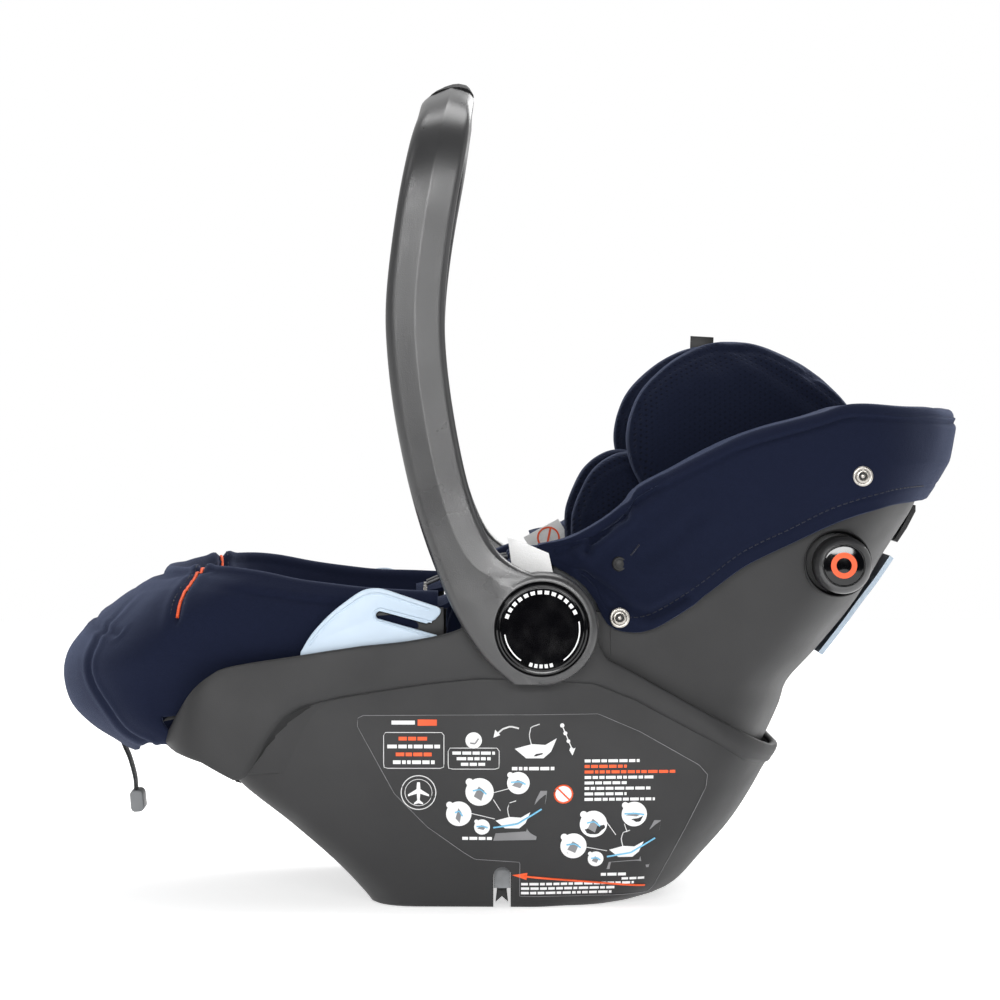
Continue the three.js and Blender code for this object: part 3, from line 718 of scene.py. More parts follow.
def back_shell():
    count = 120
    levels = np.linspace(96, 325, 70)

    def wall_at(wall):
        out = []
        for z in levels:
            half = resample(half_plan(inset_row(row_at(BACK, z), wall, 1.15), BACK_ROUND), 400)
            half = half[half[:, 0] > 62]
            out.append(soften(resample(half, count + 1), 2.0, closed=False))
        return arr(out)

    outer, inner = wall_at(0), wall_at(3)
    top_edge = lambda x: RIM_BOTTOM(x) + 17 if x > 71 else 217

    def meet(i, edge, start):
        return settle(start, lambda z: edge(np.interp(z, levels, outer[:, i, 0])))

    def point(i, stack, z):
        return arr([*(np.interp(z, levels, stack[:, i, k]) for k in (0, 1)), z])

    rings = []
    for i in range(count + 1):
        low, high = meet(i, BACK_LOWER_EDGE, 110.0), meet(i, top_edge, 300.0)
        column = [point(i, outer, z) for z in np.linspace(low + 1.2, high, 40)]
        column += [point(i, inner, z) for z in np.linspace(high, low + 1.2, 30)]
        out, into = point(i, outer, low), point(i, inner, low)
        mid = 0.5 * (out + into)
        rings.append(column + [0.5 * (mid + into), mid, 0.5 * (mid + out)])
    obj = tube("back_skin", np.vstack([flipped(rings)[:0:-1], rings]), SHELL, 32)
    for side in (-1, 1):
        boolean(obj, lathe("hole", POD, [(24, 150), (24, 200)], SHELL, side=side))
        y = sorted((side * 176.2, side * 180))
        link = np.vstack([arc(RECLINE, 12, 110, 230, 16), [(62, 178), (70, 178), (70, 213), (62, 213)]])
        boolean(obj, prism("link", link, *y, SHELL, 0.8), "UNION")
    return obj


place(back_shell(), "backrest", "shell_plastic", "back_shell")

# ---- carry handle -------------------------------------------------------------------------------
ARM_FRONT = spline([(0, 164), (-19, 181), (-38, 209), (-55, 247), (-70, 293), (-82, 349), (-88, 400),
                    (-88, 440), (-80, 502), (-70, 550), (-62, 573)], 120)
ARM_REAR = spline([(22, 242), (8, 243), (-12, 258), (-27, 290), (-38, 335), (-46, 390), (-47, 435),
                   (-41, 488), (-31, 544), (-27, 573)], 120)
BOW_OUTER = np.vstack([[(ARM_OUTER, 164)], spline([
    (ARM_OUTER, 480), (ARM_OUTER, 505), (216, 532), (207, 555), (190, 571), (165, 580.5), (120, 589),
    (60, 594.5), (0, 596)], 90)])
BOW_INNER = np.vstack([[(ARM_INNER, 164)], spline([
    (ARM_INNER, 480), (ARM_INNER, 500), (193, 523), (185, 540), (172, 552), (150, 559), (110, 566),
    (60, 571.5), (0, 573)], 90)])
FRONT_X = lambda z: np.interp(z, [*ARM_FRONT[:, 1], 584, 592, 597], [*ARM_FRONT[:, 0], -61.5, -58, -53])
REAR_X = lambda z: np.interp(z, [164, *ARM_REAR[:, 1], 584, 592, 597],
                             [22, *ARM_REAR[:, 0], -25, -25.5, -29])
SPLIT = 140  # half the length of the soft grip


def bow_rows(count):
    """Outer and inner edge points of half the bow, hub to top centre."""
    return resample(BOW_OUTER, count + 1), resample(BOW_INNER, count + 1)


def crown(share, height):
    """How far the top of the bow falls away towards its front (0) and rear (1) edges."""
    fall = np.interp(share, [0, 0.1, 0.25, 0.45, 0.6, 0.78, 0.92, 1], [9, 6, 3, 0.7, 0, 0, 3, 7])
    return fall * ramp(height, 562, 30)


def bow_section(outer, inner, ridge):
    """A rounded section across the bow: a sharp ridge along the outer face, softer edges inside."""
    depth = np.linalg.norm(outer - inner)
    into = (inner - outer) / depth
    z_out, z_in = outer[1], inner[1]
    points = []

    def corner(a, b, radius, start):
        for t in np.radians(np.linspace(start, start + 90, 6)):
            points.append((a + radius * math.cos(t), b + radius * math.sin(t)))

    width = REAR_X(z_out) - FRONT_X(z_out)
    corner(width - 5, ridge + 5, 5, 270)
    corner(width - 4, depth - 4, 4, 0)
    corner(4, depth - 4, 4, 90)
    corner(7, ridge + 7, 7, 180)
    middle = 0.5 * width
    for a in (0.45 * middle + 3, middle - 1.0):
        points.append((a, ridge * (1 - (a - 7) / (middle - 7))))
    points.append((middle, 0.0))
    for a in (middle + 1.0, width - 0.3 * middle - 5):
        points.append((a, ridge * (a - middle) / (width - 5 - middle)))
    out = []
    for a, b in points:
        b += crown(a / width, z_out) * max(0.0, 1 - b / depth) ** 2
        share = b / depth
        z = z_out * (1 - share) + z_in * share
        front = FRONT_X(z_out) * (1 - share) + FRONT_X(z_in) * share
        rear = REAR_X(z_out) * (1 - share) + REAR_X(z_in) * share
        y, height = outer + into * b
        out.append((front + (rear - front) * a / width, y, height))
    return out


def handle_bow():
    half = [bow_section(outer, inner, 0.25 + 2.4 * ramp(outer[1], 222, 80))
            for outer, inner in zip(*bow_rows(130))]
    obj = tube("handle_bow", np.vstack([half, flipped(half)[-2::-1]]), HANDLE, 32)
    hub = [(36, 197), (38.8, 197.3), (39.8, 198.3), (39.8, 213.0), (39.5, 214.9), (38.8, 216.6),
           (37.6, 218.0), (36.0, 218.8), (34.4, 219), (10, 219)]
    recess = [(33, 199.5), (33, 218.2), (33.8, 219.4), (33.8, 230)]
    for side in (-1, 1):
        boolean(obj, lathe("hub", HUB, hub, HANDLE, 96, side, 25), "UNION")
        boolean(obj, lathe("recess", HUB, recess, HANDLE, 96, side))
        boolean(obj, lathe("bore", HUB, [(14.3, 190), (14.3, 205)], HANDLE, side=side), sharp=28)
    return obj


place(handle_bow(), "handle", "handle_plastic", "handle_arm_right", "handle_arm_left", "handle_crossbar")


def grip():
    """Soft layer over the top of the bow, from one shoulder to the other."""
    half = []
    for o, i in zip(*bow_rows(260)):
        if o[0] > SPLIT:
            continue
        into = (i - o) / np.linalg.norm(o - i)
        front, rear = FRONT_X(o[1]) + 1.0, REAR_X(o[1]) - 1.0
        section = [(front + 1.2, 3.6), (front + 0.2, 2.4), (front + 0.6, 1.0), (front + 3, 0.0)]
        section += [(x, -0.35) for x in np.linspace(front + 5, rear - 5, 5)]
        section += [(rear - 3, 0.0), (rear - 0.6, 1.0), (rear - 0.2, 2.4), (rear - 1.2, 3.6)]
        half.append([(x, *(o + into * (b + crown((x - front) / (rear - front), o[1])))) for x, b in section])
    return tube("grip_skin", np.vstack([half, flipped(half)[-2::-1]]), GRIP, 40)


place(grip(), "handle", "grip_rubber", "handle_grip")


def hub_buttons():
    profile = [(0.5, 212), (31.4, 212), (32.4, 213), (32.4, 218.6), (31.9, 219.6), (30.8, 220.1),
               (29.9, 220.0), (29.6, 219.7), (29.2, 219.75), (28.9, 219.9), (28.6, 219.9), (0.5, 219.9)]
    button = lathe("hub_cap_right", HUB, profile, GLOSS, 96)
    bodies = {"right": "hub_button_r", "left": "hub_button_l"}
    place_pair(button, None, "black_gloss", "hub_button", bodies=bodies)

    def arc_line(radius, start, stop, width):
        turns = np.radians(np.linspace(start, stop, max(3, int(abs(stop - start) / 3))))
        far, low, high = radius + width, 219.75, 220.2
        section = ((radius, low), (far, low), (far, high), (radius, high))
        return tube("line", [[turned(HUB, r, y, t) for r, y in section] for t in turns], WHITE)

    lines = [arc_line(25.8, 188, 236, 0.9), arc_line(25.8, -55, 12, 0.9)]
    lines += [arc_line(24.6, a, a + 7, 2.6) for a in range(24, 160, 11)]
    lines += [arc_line(24.6, a, a + 5, 2.6) for a in range(250, 290, 8)]
    place_pair(join("hub_print_right", lines), None, "insert_plastic", bodies=bodies)


hub_buttons()


# ---- soft goods: shared helpers -----------------------------------------------------------------
def distance_to(points, line):
    """Distance of each 2-D point from a polyline."""
    p, line = arr(points), arr(line)
    best = np.full(len(p), 1e9)
    for a, b in zip(line[:-1], line[1:]):
        ab = b - a
        t = np.clip(((p - a) @ ab) / (ab @ ab), 0, 1)
        best = np.minimum(best, np.linalg.norm(p - (a + t[:, None] * ab), axis=1))
    return best


def groove(points, line, depth, width):
    """Height change near a seam: sunk on the line, a little raised beside it."""
    d = distance_to(points, line)
    return depth * (0.45 * bell(d, 2.4 * width, 1.4 * width) - bell(d, 0, width))


def coords(mesh):
    co = np.zeros(len(mesh.vertices) * 3)
    mesh.vertices.foreach_get("co", co)
    return co.reshape(-1, 3)


def set_coords(mesh, co):
    mesh.vertices.foreach_set("co", co.ravel())
    mesh.update()


def press(obj, change):
    """Moves each vertex along its normal by change(co, normal), in millimetres."""
    co = coords(obj.data) / MM
    normal = arr([v.normal for v in obj.data.vertices])
    set_coords(obj.data, (co + normal * change(co, normal)[:, None]) * MM)


def ripple(co, scale, size, seed=0.0):
    """Soft uneven cloth, from smooth noise."""
    return size * arr([noise.noise(Vector(c) / scale + Vector((seed, 0, 0))) for c in co])


FRAMES = 20  # of cloth simulation


def inflate(obj, voxel, pressure, cap):
    """A filled cover: remesh, swell by cloth pressure, limit the swelling, then subdivide."""
    m = obj.modifiers.new("remesh", "REMESH")
    m.mode = "VOXEL"
    m.voxel_size = voxel * MM
    apply_modifiers(obj)
    with editing(obj.data) as bm:
        for _ in range(3):
            bmesh.ops.smooth_vert(bm, verts=bm.verts, factor=0.5, use_axis_x=True, use_axis_y=True,
                                  use_axis_z=True)
    before = coords(obj.data)
    cloth = obj.modifiers.new("cloth", "CLOTH")
    cloth.settings.use_pressure = True
    cloth.settings.uniform_pressure_force = pressure
    cloth.settings.effector_weights.gravity = 0
    cloth.settings.quality = 5
    cloth.point_cache.frame_start = 1
    cloth.point_cache.frame_end = FRAMES
    for f in range(1, FRAMES + 1):
        scene.frame_set(f)
    graph = bpy.context.evaluated_depsgraph_get()
    move = coords(obj.evaluated_get(graph).to_mesh()) - before
    obj.evaluated_get(graph).to_mesh_clear()
    obj.modifiers.clear()
    scene.frame_set(1)
    size = np.linalg.norm(move, axis=1) + 1e-9
    set_coords(obj.data, before + move * np.minimum(1, cap * MM / size)[:, None])
    m = obj.modifiers.new("fine", "SUBSURF")
    m.levels = m.render_levels = 1
    apply_modifiers(obj)
    shade(obj, 75)


def paint(obj, material):
    obj.data.materials.clear()
    obj.data.materials.append(material)


def shrink_outline(outline, by):
    """A closed outline moved inward."""
    p = arr(outline)
    ahead, behind = np.roll(p, -1, 0), np.roll(p, 1, 0)
    along = ahead - behind
    along /= np.linalg.norm(along, axis=1)[:, None] + 1e-9
    normal = np.stack([along[:, 1], -along[:, 0]], 1)
    area = 0.5 * np.sum(p[:, 0] * ahead[:, 1] - ahead[:, 0] * p[:, 1])
    return p - normal * by * (1 if area > 0 else -1)


def pad(name, outline, y0, y1, material, cap, change, voxel=4.5, shrink=3.0):
    """A stuffed pad with a side-view outline, swollen by cloth simulation."""
    outline = shrink_outline(resample(outline, 90, closed=True), shrink)
    obj = prism(name, outline, y0 + shrink * 0.7, y1 - shrink * 0.7, material, bevel=0)
    inflate(obj, voxel, 4.0, cap)
    press(obj, change)
    paint(obj, material)
    return obj


# ---- rim cover ----------------------------------------------------------------------------------
RIM_HALF, RIM_FRONT = 194.5, 182.2
RIM_REAR = [(180, 305), (288, 308), (300, 316), (318, 326), (342, 331.5), (370, 328)]
RIM_TIP = 19  # X of the front tips
REAR_STEPS, SIDE_STEPS = 70, 120
CAVITY_REAR, CAVITY_CORNER = 299, 30


def rim_plan(z):
    rear = np.interp(z, *arr(RIM_REAR).T)
    deep = np.interp(z, (290, 342), (62, 84))
    t = np.linspace(0, math.pi / 2, 30)
    corner = np.stack([rear - deep * (1 - np.cos(t)), RIM_HALF - (RIM_HALF - 20) * (1 - np.sin(t))], 1)
    back = resample(np.vstack([[(rear, 0)], corner]), REAR_STEPS + 1)
    x = np.linspace(rear - deep, RIM_TIP, SIDE_STEPS + 1)[1:]
    y = np.interp(x, [0, 19, 40, 60, 80, 100, 118, 140],
                  [177, 180.9, 182, 182.8, 186.4, 190.6, 193.6, RIM_HALF])
    return np.vstack([back, np.stack([x, y], 1)])


def cavity_plan(reach=0.0):
    """The opening of the seat, as many points as the rim outline; reach widens it."""
    half, rear, r = CAVITY_HALF + reach, CAVITY_REAR + reach, CAVITY_CORNER
    corner = arc((rear - r, half - r), r, 0, 90, 16)
    back = resample(np.vstack([[(rear, 0)], corner]), REAR_STEPS + 1)
    x = np.linspace(rear - r, RIM_TIP, SIDE_STEPS + 1)[1:]
    return np.vstack([back, np.stack([x, np.full(len(x), half)], 1)])


def floor_line(x, above):
    """Height of the line parallel to the backrest surface."""
    return BACK_START[1] + (x - BACK_START[0]) * math.tan(BACK_ANGLE) + above / math.cos(BACK_ANGLE)


HEM_IN = 11  # the stitched hem of the cover
FOLDS = [  # creases of the cover near the hub, in side view: points, depth, width
    ([(53, 256), (56, 262), (64, 268), (74, 277), (80, 280)], 4.2, 2.6),
    ([(50, 240), (60, 234), (72, 225), (82, 216), (98, 211), (122, 224)], 3.0, 2.8),
    ([(32, 256), (46, 261), (62, 271), (82, 286), (100, 300)], 2.2, 3.4),
    ([(92, 250), (110, 262), (130, 280)], 1.2, 5.0),
    ([(120, 250), (170, 268), (240, 290)], 0.5, 9.0),
]


def rim_cover():
    levels = np.linspace(196, 362, 60)
    plans = arr([rim_plan(z) for z in levels])
    inner, inner_back = cavity_plan(), cavity_plan(4)
    rings = []
    for i in range(REAR_STEPS + SIDE_STEPS + 1):
        def outer(z):
            return arr([np.interp(z, levels, plans[:, i, k]) for k in (0, 1)])

        low = settle(240.0, lambda z: RIM_BOTTOM(outer(z)[0]))
        top = settle(340.0, lambda z: RIM_TOP(outer(z)[0]))
        k = float(np.clip((top - low) / 50, 0.06, 1))  # the cover gets thinner towards its front tips
        roll_in, roll_out = 9 * k, 6 * k
        a, b = inner[i], inner_back[i]
        in_top = float(RIM_TOP(max(a[0], RIM_TIP))) - 1.5
        skirt = min(floor_line(a[0], -8), in_top - 14)
        skirt = max(skirt, 150 if a[0] < 60 else skirt)
        out_dir = outer(top) - a
        reach = np.linalg.norm(out_dir) + TINY
        normal = out_dir / reach
        # Up the inside and over the inner edge.
        column = [(*a, z) for z in np.linspace(skirt, in_top - roll_in, 8)]
        for turn in np.linspace(0, math.pi / 2, 6)[1:]:
            lean = roll_in * (1 - math.cos(turn))
            column.append((*(a + normal * lean), in_top - roll_in + roll_in * math.sin(turn)))
        # Across the top and over the outer edge.
        lean_in, lean_out = roll_in / reach, 1 - roll_out / reach
        for s in np.linspace(0, 1, 9)[1:]:
            share = lean_in + (lean_out - lean_in) * s
            column.append((*(a + out_dir * share), in_top * (1 - s) + top * s + 1.2 * math.sin(math.pi * s)))
        for turn in np.linspace(0, math.pi / 2, 7)[1:]:
            lean = roll_out * (1 - math.sin(turn))
            column.append((*(outer(top) - normal * lean), top - roll_out * (1 - math.cos(turn))))
        # Down the outside: the seam and roll under the top edge, the hem above the bottom one.
        for z in np.linspace(top - 6.5 * k, low + 1.5 * k, 46):
            seam = -1.7 * bell(top - z, 10 * k, 1.3)
            roll = 1.1 * bell(top - z, 5 * k, 3.2)
            hem = -0.9 * bell(z - low, HEM_IN * k, 1.1)
            puff = 1.3 * math.sin(math.pi * (z - low) / (top - low + TINY))
            column.append((*(outer(z) + normal * (seam + roll + hem + puff - 0.8) * k), z))
        # Round the bottom edge and back up inside the cover.
        for inward, up in ((0.6, 0.4), (2.2, 0), (4.6, 0.3), (6.2, 2.0)):
            column.append((*(outer(low) - normal * inward * k), low + up * k))
        for z in np.linspace(low + 4 * k, max(top - 9.5 * k, low + 4.2 * k), 6):
            column.append((*(outer(z) - normal * 6.8 * k), z))
        column.append((*(0.5 * (outer(top) + b)), 0.5 * (top + in_top) - 9.5 * k))
        column += [(*b, z) for z in np.linspace(in_top - 10 * k, skirt, 4)]
        rings.append(column)
    obj = tube("rim_fabric", np.vstack([flipped(rings)[:0:-1], rings]), NAVY, 70)

    def folds(co, normal):
        side = ramp(np.abs(co[:, 1]), 165, 12) * (np.abs(normal[:, 1]) > 0.3)
        change = ripple(co, 34, 0.9) * 0.8
        for line, depth, width in FOLDS:
            change += side * groove(co[:, (0, 2)], line, depth, width)
        return change

    press(obj, folds)
    place(obj, "backrest", "navy_fabric", "rim_cover")
    return obj


rim = rim_cover()


def tree_of(obj):
    return BVHTree.FromPolygons([v.co for v in obj.data.vertices], [p.vertices for p in obj.data.polygons])


def surface_probe(obj):
    """Finds the outer face of a piece: (x, z, side) to a point in millimetres and a normal."""
    tree = tree_of(obj)

    def probe(x, z, side=1):
        start = Vector((x * MM, side * 0.4, z * MM))
        hit, normal, _, _ = tree.ray_cast(start, Vector((0, -side, 0)))
        if hit is None:
            return None
        if normal.y * side < 0:
            normal = -normal
        return arr(hit) / MM, arr(normal)

    return probe


rim_at = surface_probe(rim)


def on_surface(probe, points, lift, side=1):
    """Side-view points laid on a piece, lifted off it."""
    out = []
    for x, z in points:
        found = probe(x, z, side)
        if found:
            out.append(found[0] + found[1] * lift)
    return arr(out)


def rim_trim():
    """Hem stitches, and the fabric button with its stitched buttonhole."""
    hem_x = np.linspace(80, 296, 90)
    rows = []
    for side in (1, -1):
        line = [(x, float(RIM_BOTTOM(x)) + HEM_IN) for x in hem_x]
        rows.append(stitches("hem", on_surface(rim_at, line, 0.15, side)))
        hole = [(84, 253), (87, 257), (90, 261)]
        rows.append(stitches("hole", on_surface(rim_at, spline(hole, 30), 0.2, side), 1.2, 0.2, 0.6))
    place(join("rim_stitches", rows), "backrest", "webbing")
    centre = (76, 247)
    profile = [(0.5, -1), (5.2, -1), (5.4, 0.6), (4.6, 1.5), (3.4, 1.2), (2.6, 1.5), (0.5, 1.7)]
    button = lathe("rim_button_right", centre, arr(profile) + (0, rim_at(*centre)[0][1]), BLACK, 40)
    place_pair(button, "backrest", "black_plastic")


rim_trim()

# ---- boot cover ---------------------------------------------------------------------------------
BOOT = spline([  # Z, X of the front, half width
    [104, -283, 160], [112, -292, 163], [124, -310, 166], [140, -325, 168], [159, -330, 172],
    [176, -327, 178], [190, -317, 181], [205, -302, 182], [218, -287, 181], [228, -272, 179],
    [236, -258, 175], [248, -242, 169]], 100)
BOOT_TOP = height_of(spline([(-52, 228), (-80, 229), (-110, 231), (-147, 236), (-185, 241.5), (-210, 244),
                             (-228, 243.5), (-246, 239), (-258, 235)], 40))
BOOT_UNDER = height_of([(-262, 117.5), (-251, 117.5), (-244, 121), (-237, 137), (-204, 141), (-160, 152),
                        (-123, 161), (-59, 171), (-52, 176)])
PIPING = [(-237, 180), (-235, 168), (-229, 150), (-223, 130), (-219, 105), (-217, 70), (-217, 0)]
SEAT_TOP_LINE = spline([(36, 118), (0, 112), (-60, 117), (-110, 141), (-160, 180), (-205, 219),
                        (-235, 236), (-258, 230)], 60)
SEAT_TOP = height_of(SEAT_TOP_LINE)
BOOT_END = -52
BOOT_ROLL = 7  # radius of the top edge
BOOT_SIDE_SEAM = spline([(-255, 240), (-274, 222), (-291, 200), (-301, 178), (-299, 161), (-288, 143),
                         (-275, 126), (-257, 117)], 40)


def boot_plan(z, count=90):
    front, width = (np.interp(z, BOOT[:, 0], BOOT[:, k]) for k in (1, 2))
    t = np.linspace(0, math.pi / 2, 30)
    corner = np.stack([front + 75 * (1 - np.cos(t)), width - (width - 8) * (1 - np.sin(t))], 1)
    nose = resample(np.vstack([[(front, 0)], corner]), count + 1)
    x = np.linspace(front + 75, BOOT_END, count + 1)[1:]
    return np.vstack([nose, np.stack([x, np.full(len(x), width)], 1)])


def boot_cover():
    levels = np.linspace(104, 248, 66)
    plans = arr([boot_plan(z) for z in levels])
    rings = []
    for i in range(plans.shape[1]):
        def outer(z):
            return arr([np.interp(z, levels, plans[:, i, k]) for k in (0, 1)])

        x_top = outer(238)[0]
        top = float(BOOT_TOP(max(x_top, -258)))
        crown = 5.0 * np.clip(1 - abs(outer(234)[1]) / 150, 0, 1) ** 0.7
        x_low, y_low = outer(125)
        across = ramp(y_low, 85, 70)
        low = 107 + 10.5 * across * across * (3 - 2 * across) if x_low < -262 else float(BOOT_UNDER(x_low))
        rim_point = outer(top)
        corner_mix = ramp(rim_point[0], -262, 60)
        inward = arr([1 - corner_mix, -max(corner_mix, min(rim_point[1] / 170, 1) * 0.9)])
        inward /= np.linalg.norm(inward)
        column = []
        for z in np.linspace(low + 1.5, top - BOOT_ROLL, 56):
            seam = -1.5 * bell(top - z, 13, 1.3)
            puff = 2.2 * math.sin(math.pi * ramp(z, low, top - low)) ** 0.8 - 1.0
            column.append((*(outer(z) - inward * (seam + puff)), z))
        for turn in np.linspace(0, math.pi, 11)[1:]:
            lean = BOOT_ROLL * (1 - math.cos(turn))
            column.append((*(rim_point + inward * (lean - 0.2)),
                           top - BOOT_ROLL + (BOOT_ROLL + crown) * math.sin(turn)))
        # Down inside the leg area to the seat.
        end = rim_point + inward * 2 * BOOT_ROLL
        foot = np.clip(end + inward * 30, (-246, 0), (BOOT_END, 126))
        foot_z = float(SEAT_TOP(foot[0])) - 5
        for s in np.linspace(0, 1, 16)[1:]:
            at = end * (1 - s) + foot * s - inward * 5 * math.sin(math.pi * s)
            column.append((*at, (top - 8) * (1 - s**1.3) + foot_z * s**1.3))
        # Back under the seat and out to the bottom edge.
        under = min(foot_z, top - 12) - 8
        column.append((*(0.7 * foot + 0.3 * end), under))
        column.append((*(0.1 * foot + 0.9 * end), max(low + 6, under)))
        column.append((*(outer(low + 3) + inward * 9), low + 3))
        column.append((*(outer(low) + inward * 5), low + 0.3))
        column.append((*(outer(low) + inward * 2), low))
        rings.append(column)
    obj = tube("boot_fabric", np.vstack([flipped(rings)[:0:-1], rings]), NAVY, 70)

    def seams(co, normal):
        away = ramp(np.abs(co[:, 1]), 90, 30) * (normal[:, 1] * np.sign(co[:, 1]) > 0.05)
        change = ripple(co, 42, 1.4) * 0.8 + away * groove(co[:, (0, 2)], BOOT_SIDE_SEAM, 1.9, 1.6)
        over = ramp(normal[:, 2], 0.1, 0.3)
        change += over * groove(np.stack([co[:, 0], np.abs(co[:, 1])], 1), PIPING, 3.2, 3.0)
        nose = ramp(-co[:, 0], 255, 12)
        change += nose * groove(co[:, (1, 2)], [(-150, 196), (0, 202), (150, 196)], 1.8, 2.0)
        return change

    press(obj, seams)
    place(obj, "leg_section", "navy_fabric", "boot_cover")
    return obj


boot = boot_cover()


# ---- padded pieces of the backrest and headrest -------------------------------------------------
SUPPORT = np.vstack([[on_back(6, 0.3), (48, 180), (45, 230)], spline(
    [(44, 264), (46, 284), (58, 310), (74, 323), (91, 326), (105, 318)], 24),
                     [(118, 290), on_back(140, 0.3)]])
WING_EDGE = spline([(93, 302), (87, 312), (82, 337), (91, 366), (103, 381), (118, 393), (137, 402),
                    (160, 405), (182, 402), (206, 391), (225, 378), (240, 365)], 60)
WING = np.vstack([WING_EDGE, [(248, 355), (252, 338), on_back(262, 4), on_back(150, 4), (120, 262),
                              (104, 284)]])


def unrolled(co):
    """Distance along the backrest surface, and Y."""
    along = (co[:, 0] - BACK_START[0]) * math.cos(BACK_ANGLE) \
        + (co[:, 2] - BACK_START[1]) * math.sin(BACK_ANGLE)
    return np.stack([along, co[:, 1]], 1)


def grooves(points, lines, depth, width):
    return sum(groove(points, line, depth, width) for line in lines)


def wing_seams(co, normal):
    face = ramp(np.abs(normal[:, 1]), 0.35, 0.3)
    inset = WING_EDGE + (arr([160, 320]) - WING_EDGE) * 0.075
    change = face * groove(co[:, (0, 2)], inset, 0.9, 1.5)
    change += face * groove(co[:, (0, 2)], [(160, 400), (181, 387), (203, 372), (226, 354)], 1.6, 4.5)
    crown = 2.2 * np.exp(-(((co[:, 0] - 160) / 60) ** 2 + ((co[:, 2] - 345) / 42) ** 2))
    return change + face * crown + ripple(co, 30, 0.5, 3.0)


def padded_backrest():
    wing = pad("headrest_wing_right", WING, 100, 126, KNIT, cap=5, shrink=-0.5, change=wing_seams)
    wing.name = "wing_right"
    for piece in place_pair(wing, "headrest", "navy_knit", "headrest_wing"):
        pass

    def support_seams(co, normal):
        face = ramp(np.abs(normal[:, 1]), 0.35, 0.3)
        edge = SUPPORT[3:28] + (arr([85, 260]) - SUPPORT[3:28]) * 0.12
        return face * groove(co[:, (0, 2)], edge, 1.0, 1.5) + ripple(co, 28, 0.5, 6.0)

    support = pad("support_right", SUPPORT, 72, 98, KNIT, cap=5, shrink=-0.5, change=support_seams)
    for piece in place_pair(support, "backrest", "navy_knit", "body_support"):
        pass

    head = [on_back(152, 3), on_back(268, 3), on_back(270, 26), on_back(264, 34), on_back(158, 34),
            on_back(150, 26)]

    def head_seams(co, normal):
        change = grooves(unrolled(co), [[(160, y), (258, y)] for y in (-62, 62)], 1.8, 2.5)
        return change * (normal[:, 2] > 0.2) + ripple(co, 30, 0.5, 9.0)

    cushion = pad("head_pad", head, -99.5, 99.5, KNIT, cap=6, voxel=5, change=head_seams)
    place(cushion, "headrest", "navy_knit", "headrest_cushion")

    back = [on_back(2, -12), on_back(313, -12), on_back(313, 0), on_back(8, 0), on_back(2, -4)]

    def back_seams(co, normal):
        flat = unrolled(co)
        change = grooves(flat, [[(20, y), (300, y)] for y in (-58, 58)], 1.6, 2.5)
        change += grooves(flat, [[(s, -58), (s, 58)] for s in (60, 100)], 1.2, 2.5)
        return change * (normal[:, 2] > 0.2) + ripple(co, 35, 0.6, 12.0)

    back_pad = pad("back_pad", back, -126, 126, KNIT, cap=4, voxel=5, shrink=2, change=back_seams)
    place(back_pad, "backrest", "navy_knit", "back_cushion")


padded_backrest()

# ---- seat pad, hip panels and gussets -----------------------------------------------------------
SEAT_UNDER = spline([(-258, 182), (-200, 160), (-130, 129), (-60, 103), (0, 98), (36, 104)], 30)
HIP = [(-49, 176), (-49, 205), (-42, 224), (-22, 243), (0, 253), (14, 258), (16, 243), (10, 205),
       (7, 176)]
SEAT_CHANNELS = (-170, -136, -102)  # X of the quilted channels across the seat


def seat_pad():
    outline = shrink_outline(resample(np.vstack([SEAT_TOP_LINE, SEAT_UNDER]), 150, closed=True), 2)
    obj = prism("seat_pad", outline, -124, 124, KNIT, bevel=0)
    # The slot lets the crotch strap through; the pocket holds the harness adjuster.
    for x0, x1, z0, z1, half in ((-74, -16, 60, 170, 31), (-256, -226, 150, 270, 26)):
        corners = [(x0, z0), (x1, z0), (x1, z1), (x0, z1)]
        boolean(obj, prism("cut", corners, -half, half, KNIT, bevel=0))
    inflate(obj, 4.5, 3.0, 4)

    def seams(co, normal):
        up = ramp(normal[:, 2], 0.25, 0.3)
        change = grooves(co[:, :2], [[(x, -126), (x, 126)] for x in SEAT_CHANNELS], 2.2, 2.6)
        change += grooves(co[:, :2], [[(-104, y), (30, y)] for y in (-70, 70)], 1.6, 2.5)
        change += groove(np.stack([co[:, 0], np.abs(co[:, 1])], 1), PIPING, 3.0, 3.0)
        crown = 5.0 * ramp(-co[:, 0], 150, 50) * (1 - (co[:, 1] / 126) ** 2)
        return up * (change + crown) + ripple(co, 35, 0.7, 15.0)

    press(obj, seams)
    paint(obj, KNIT)
    place(obj, "leg_section", "navy_knit", "seat_cushion")
    return obj


seat = seat_pad()


def top_of(obj):
    """Height of a piece's top face at a point in plan, in millimetres."""
    tree = tree_of(obj)

    def top(x, y):
        hit = tree.ray_cast(Vector((x * MM, y * MM, 1.0)), Vector((0, 0, -1)))[0]
        return None if hit is None else hit.z / MM

    return top


def piping():
    """Orange cord laid in the channel across the front of the leg section, with stitches beside it."""
    tops = (top_of(seat), top_of(boot))
    height = lambda x, y: max([t for t in (top(x, y) for top in tops) if t is not None], default=None)
    bend = lambda y: np.interp(abs(y), [q[1] for q in PIPING[::-1]], [q[0] for q in PIPING[::-1]])
    cords, threads = [], []
    for side in (-1, 1):
        across = [side * y for y in np.linspace(27, 177, 60)]
        line = [(bend(y), y, height(bend(y), y) + 0.5) for y in across]
        cords.append(cord_tube("cord", line, 1.2, ORANGE))
        for shift in (-5, 5):
            beside = [(bend(y) + shift, y, height(bend(y) + shift, y) + 0.15) for y in across]
            threads.append(stitches("thread", beside, 2.6, 1.4, 0.3))
    place(join("orange_piping", cords), "leg_section", "red_plastic")
    place(join("piping_stitches", threads), "leg_section", "webbing")


piping()


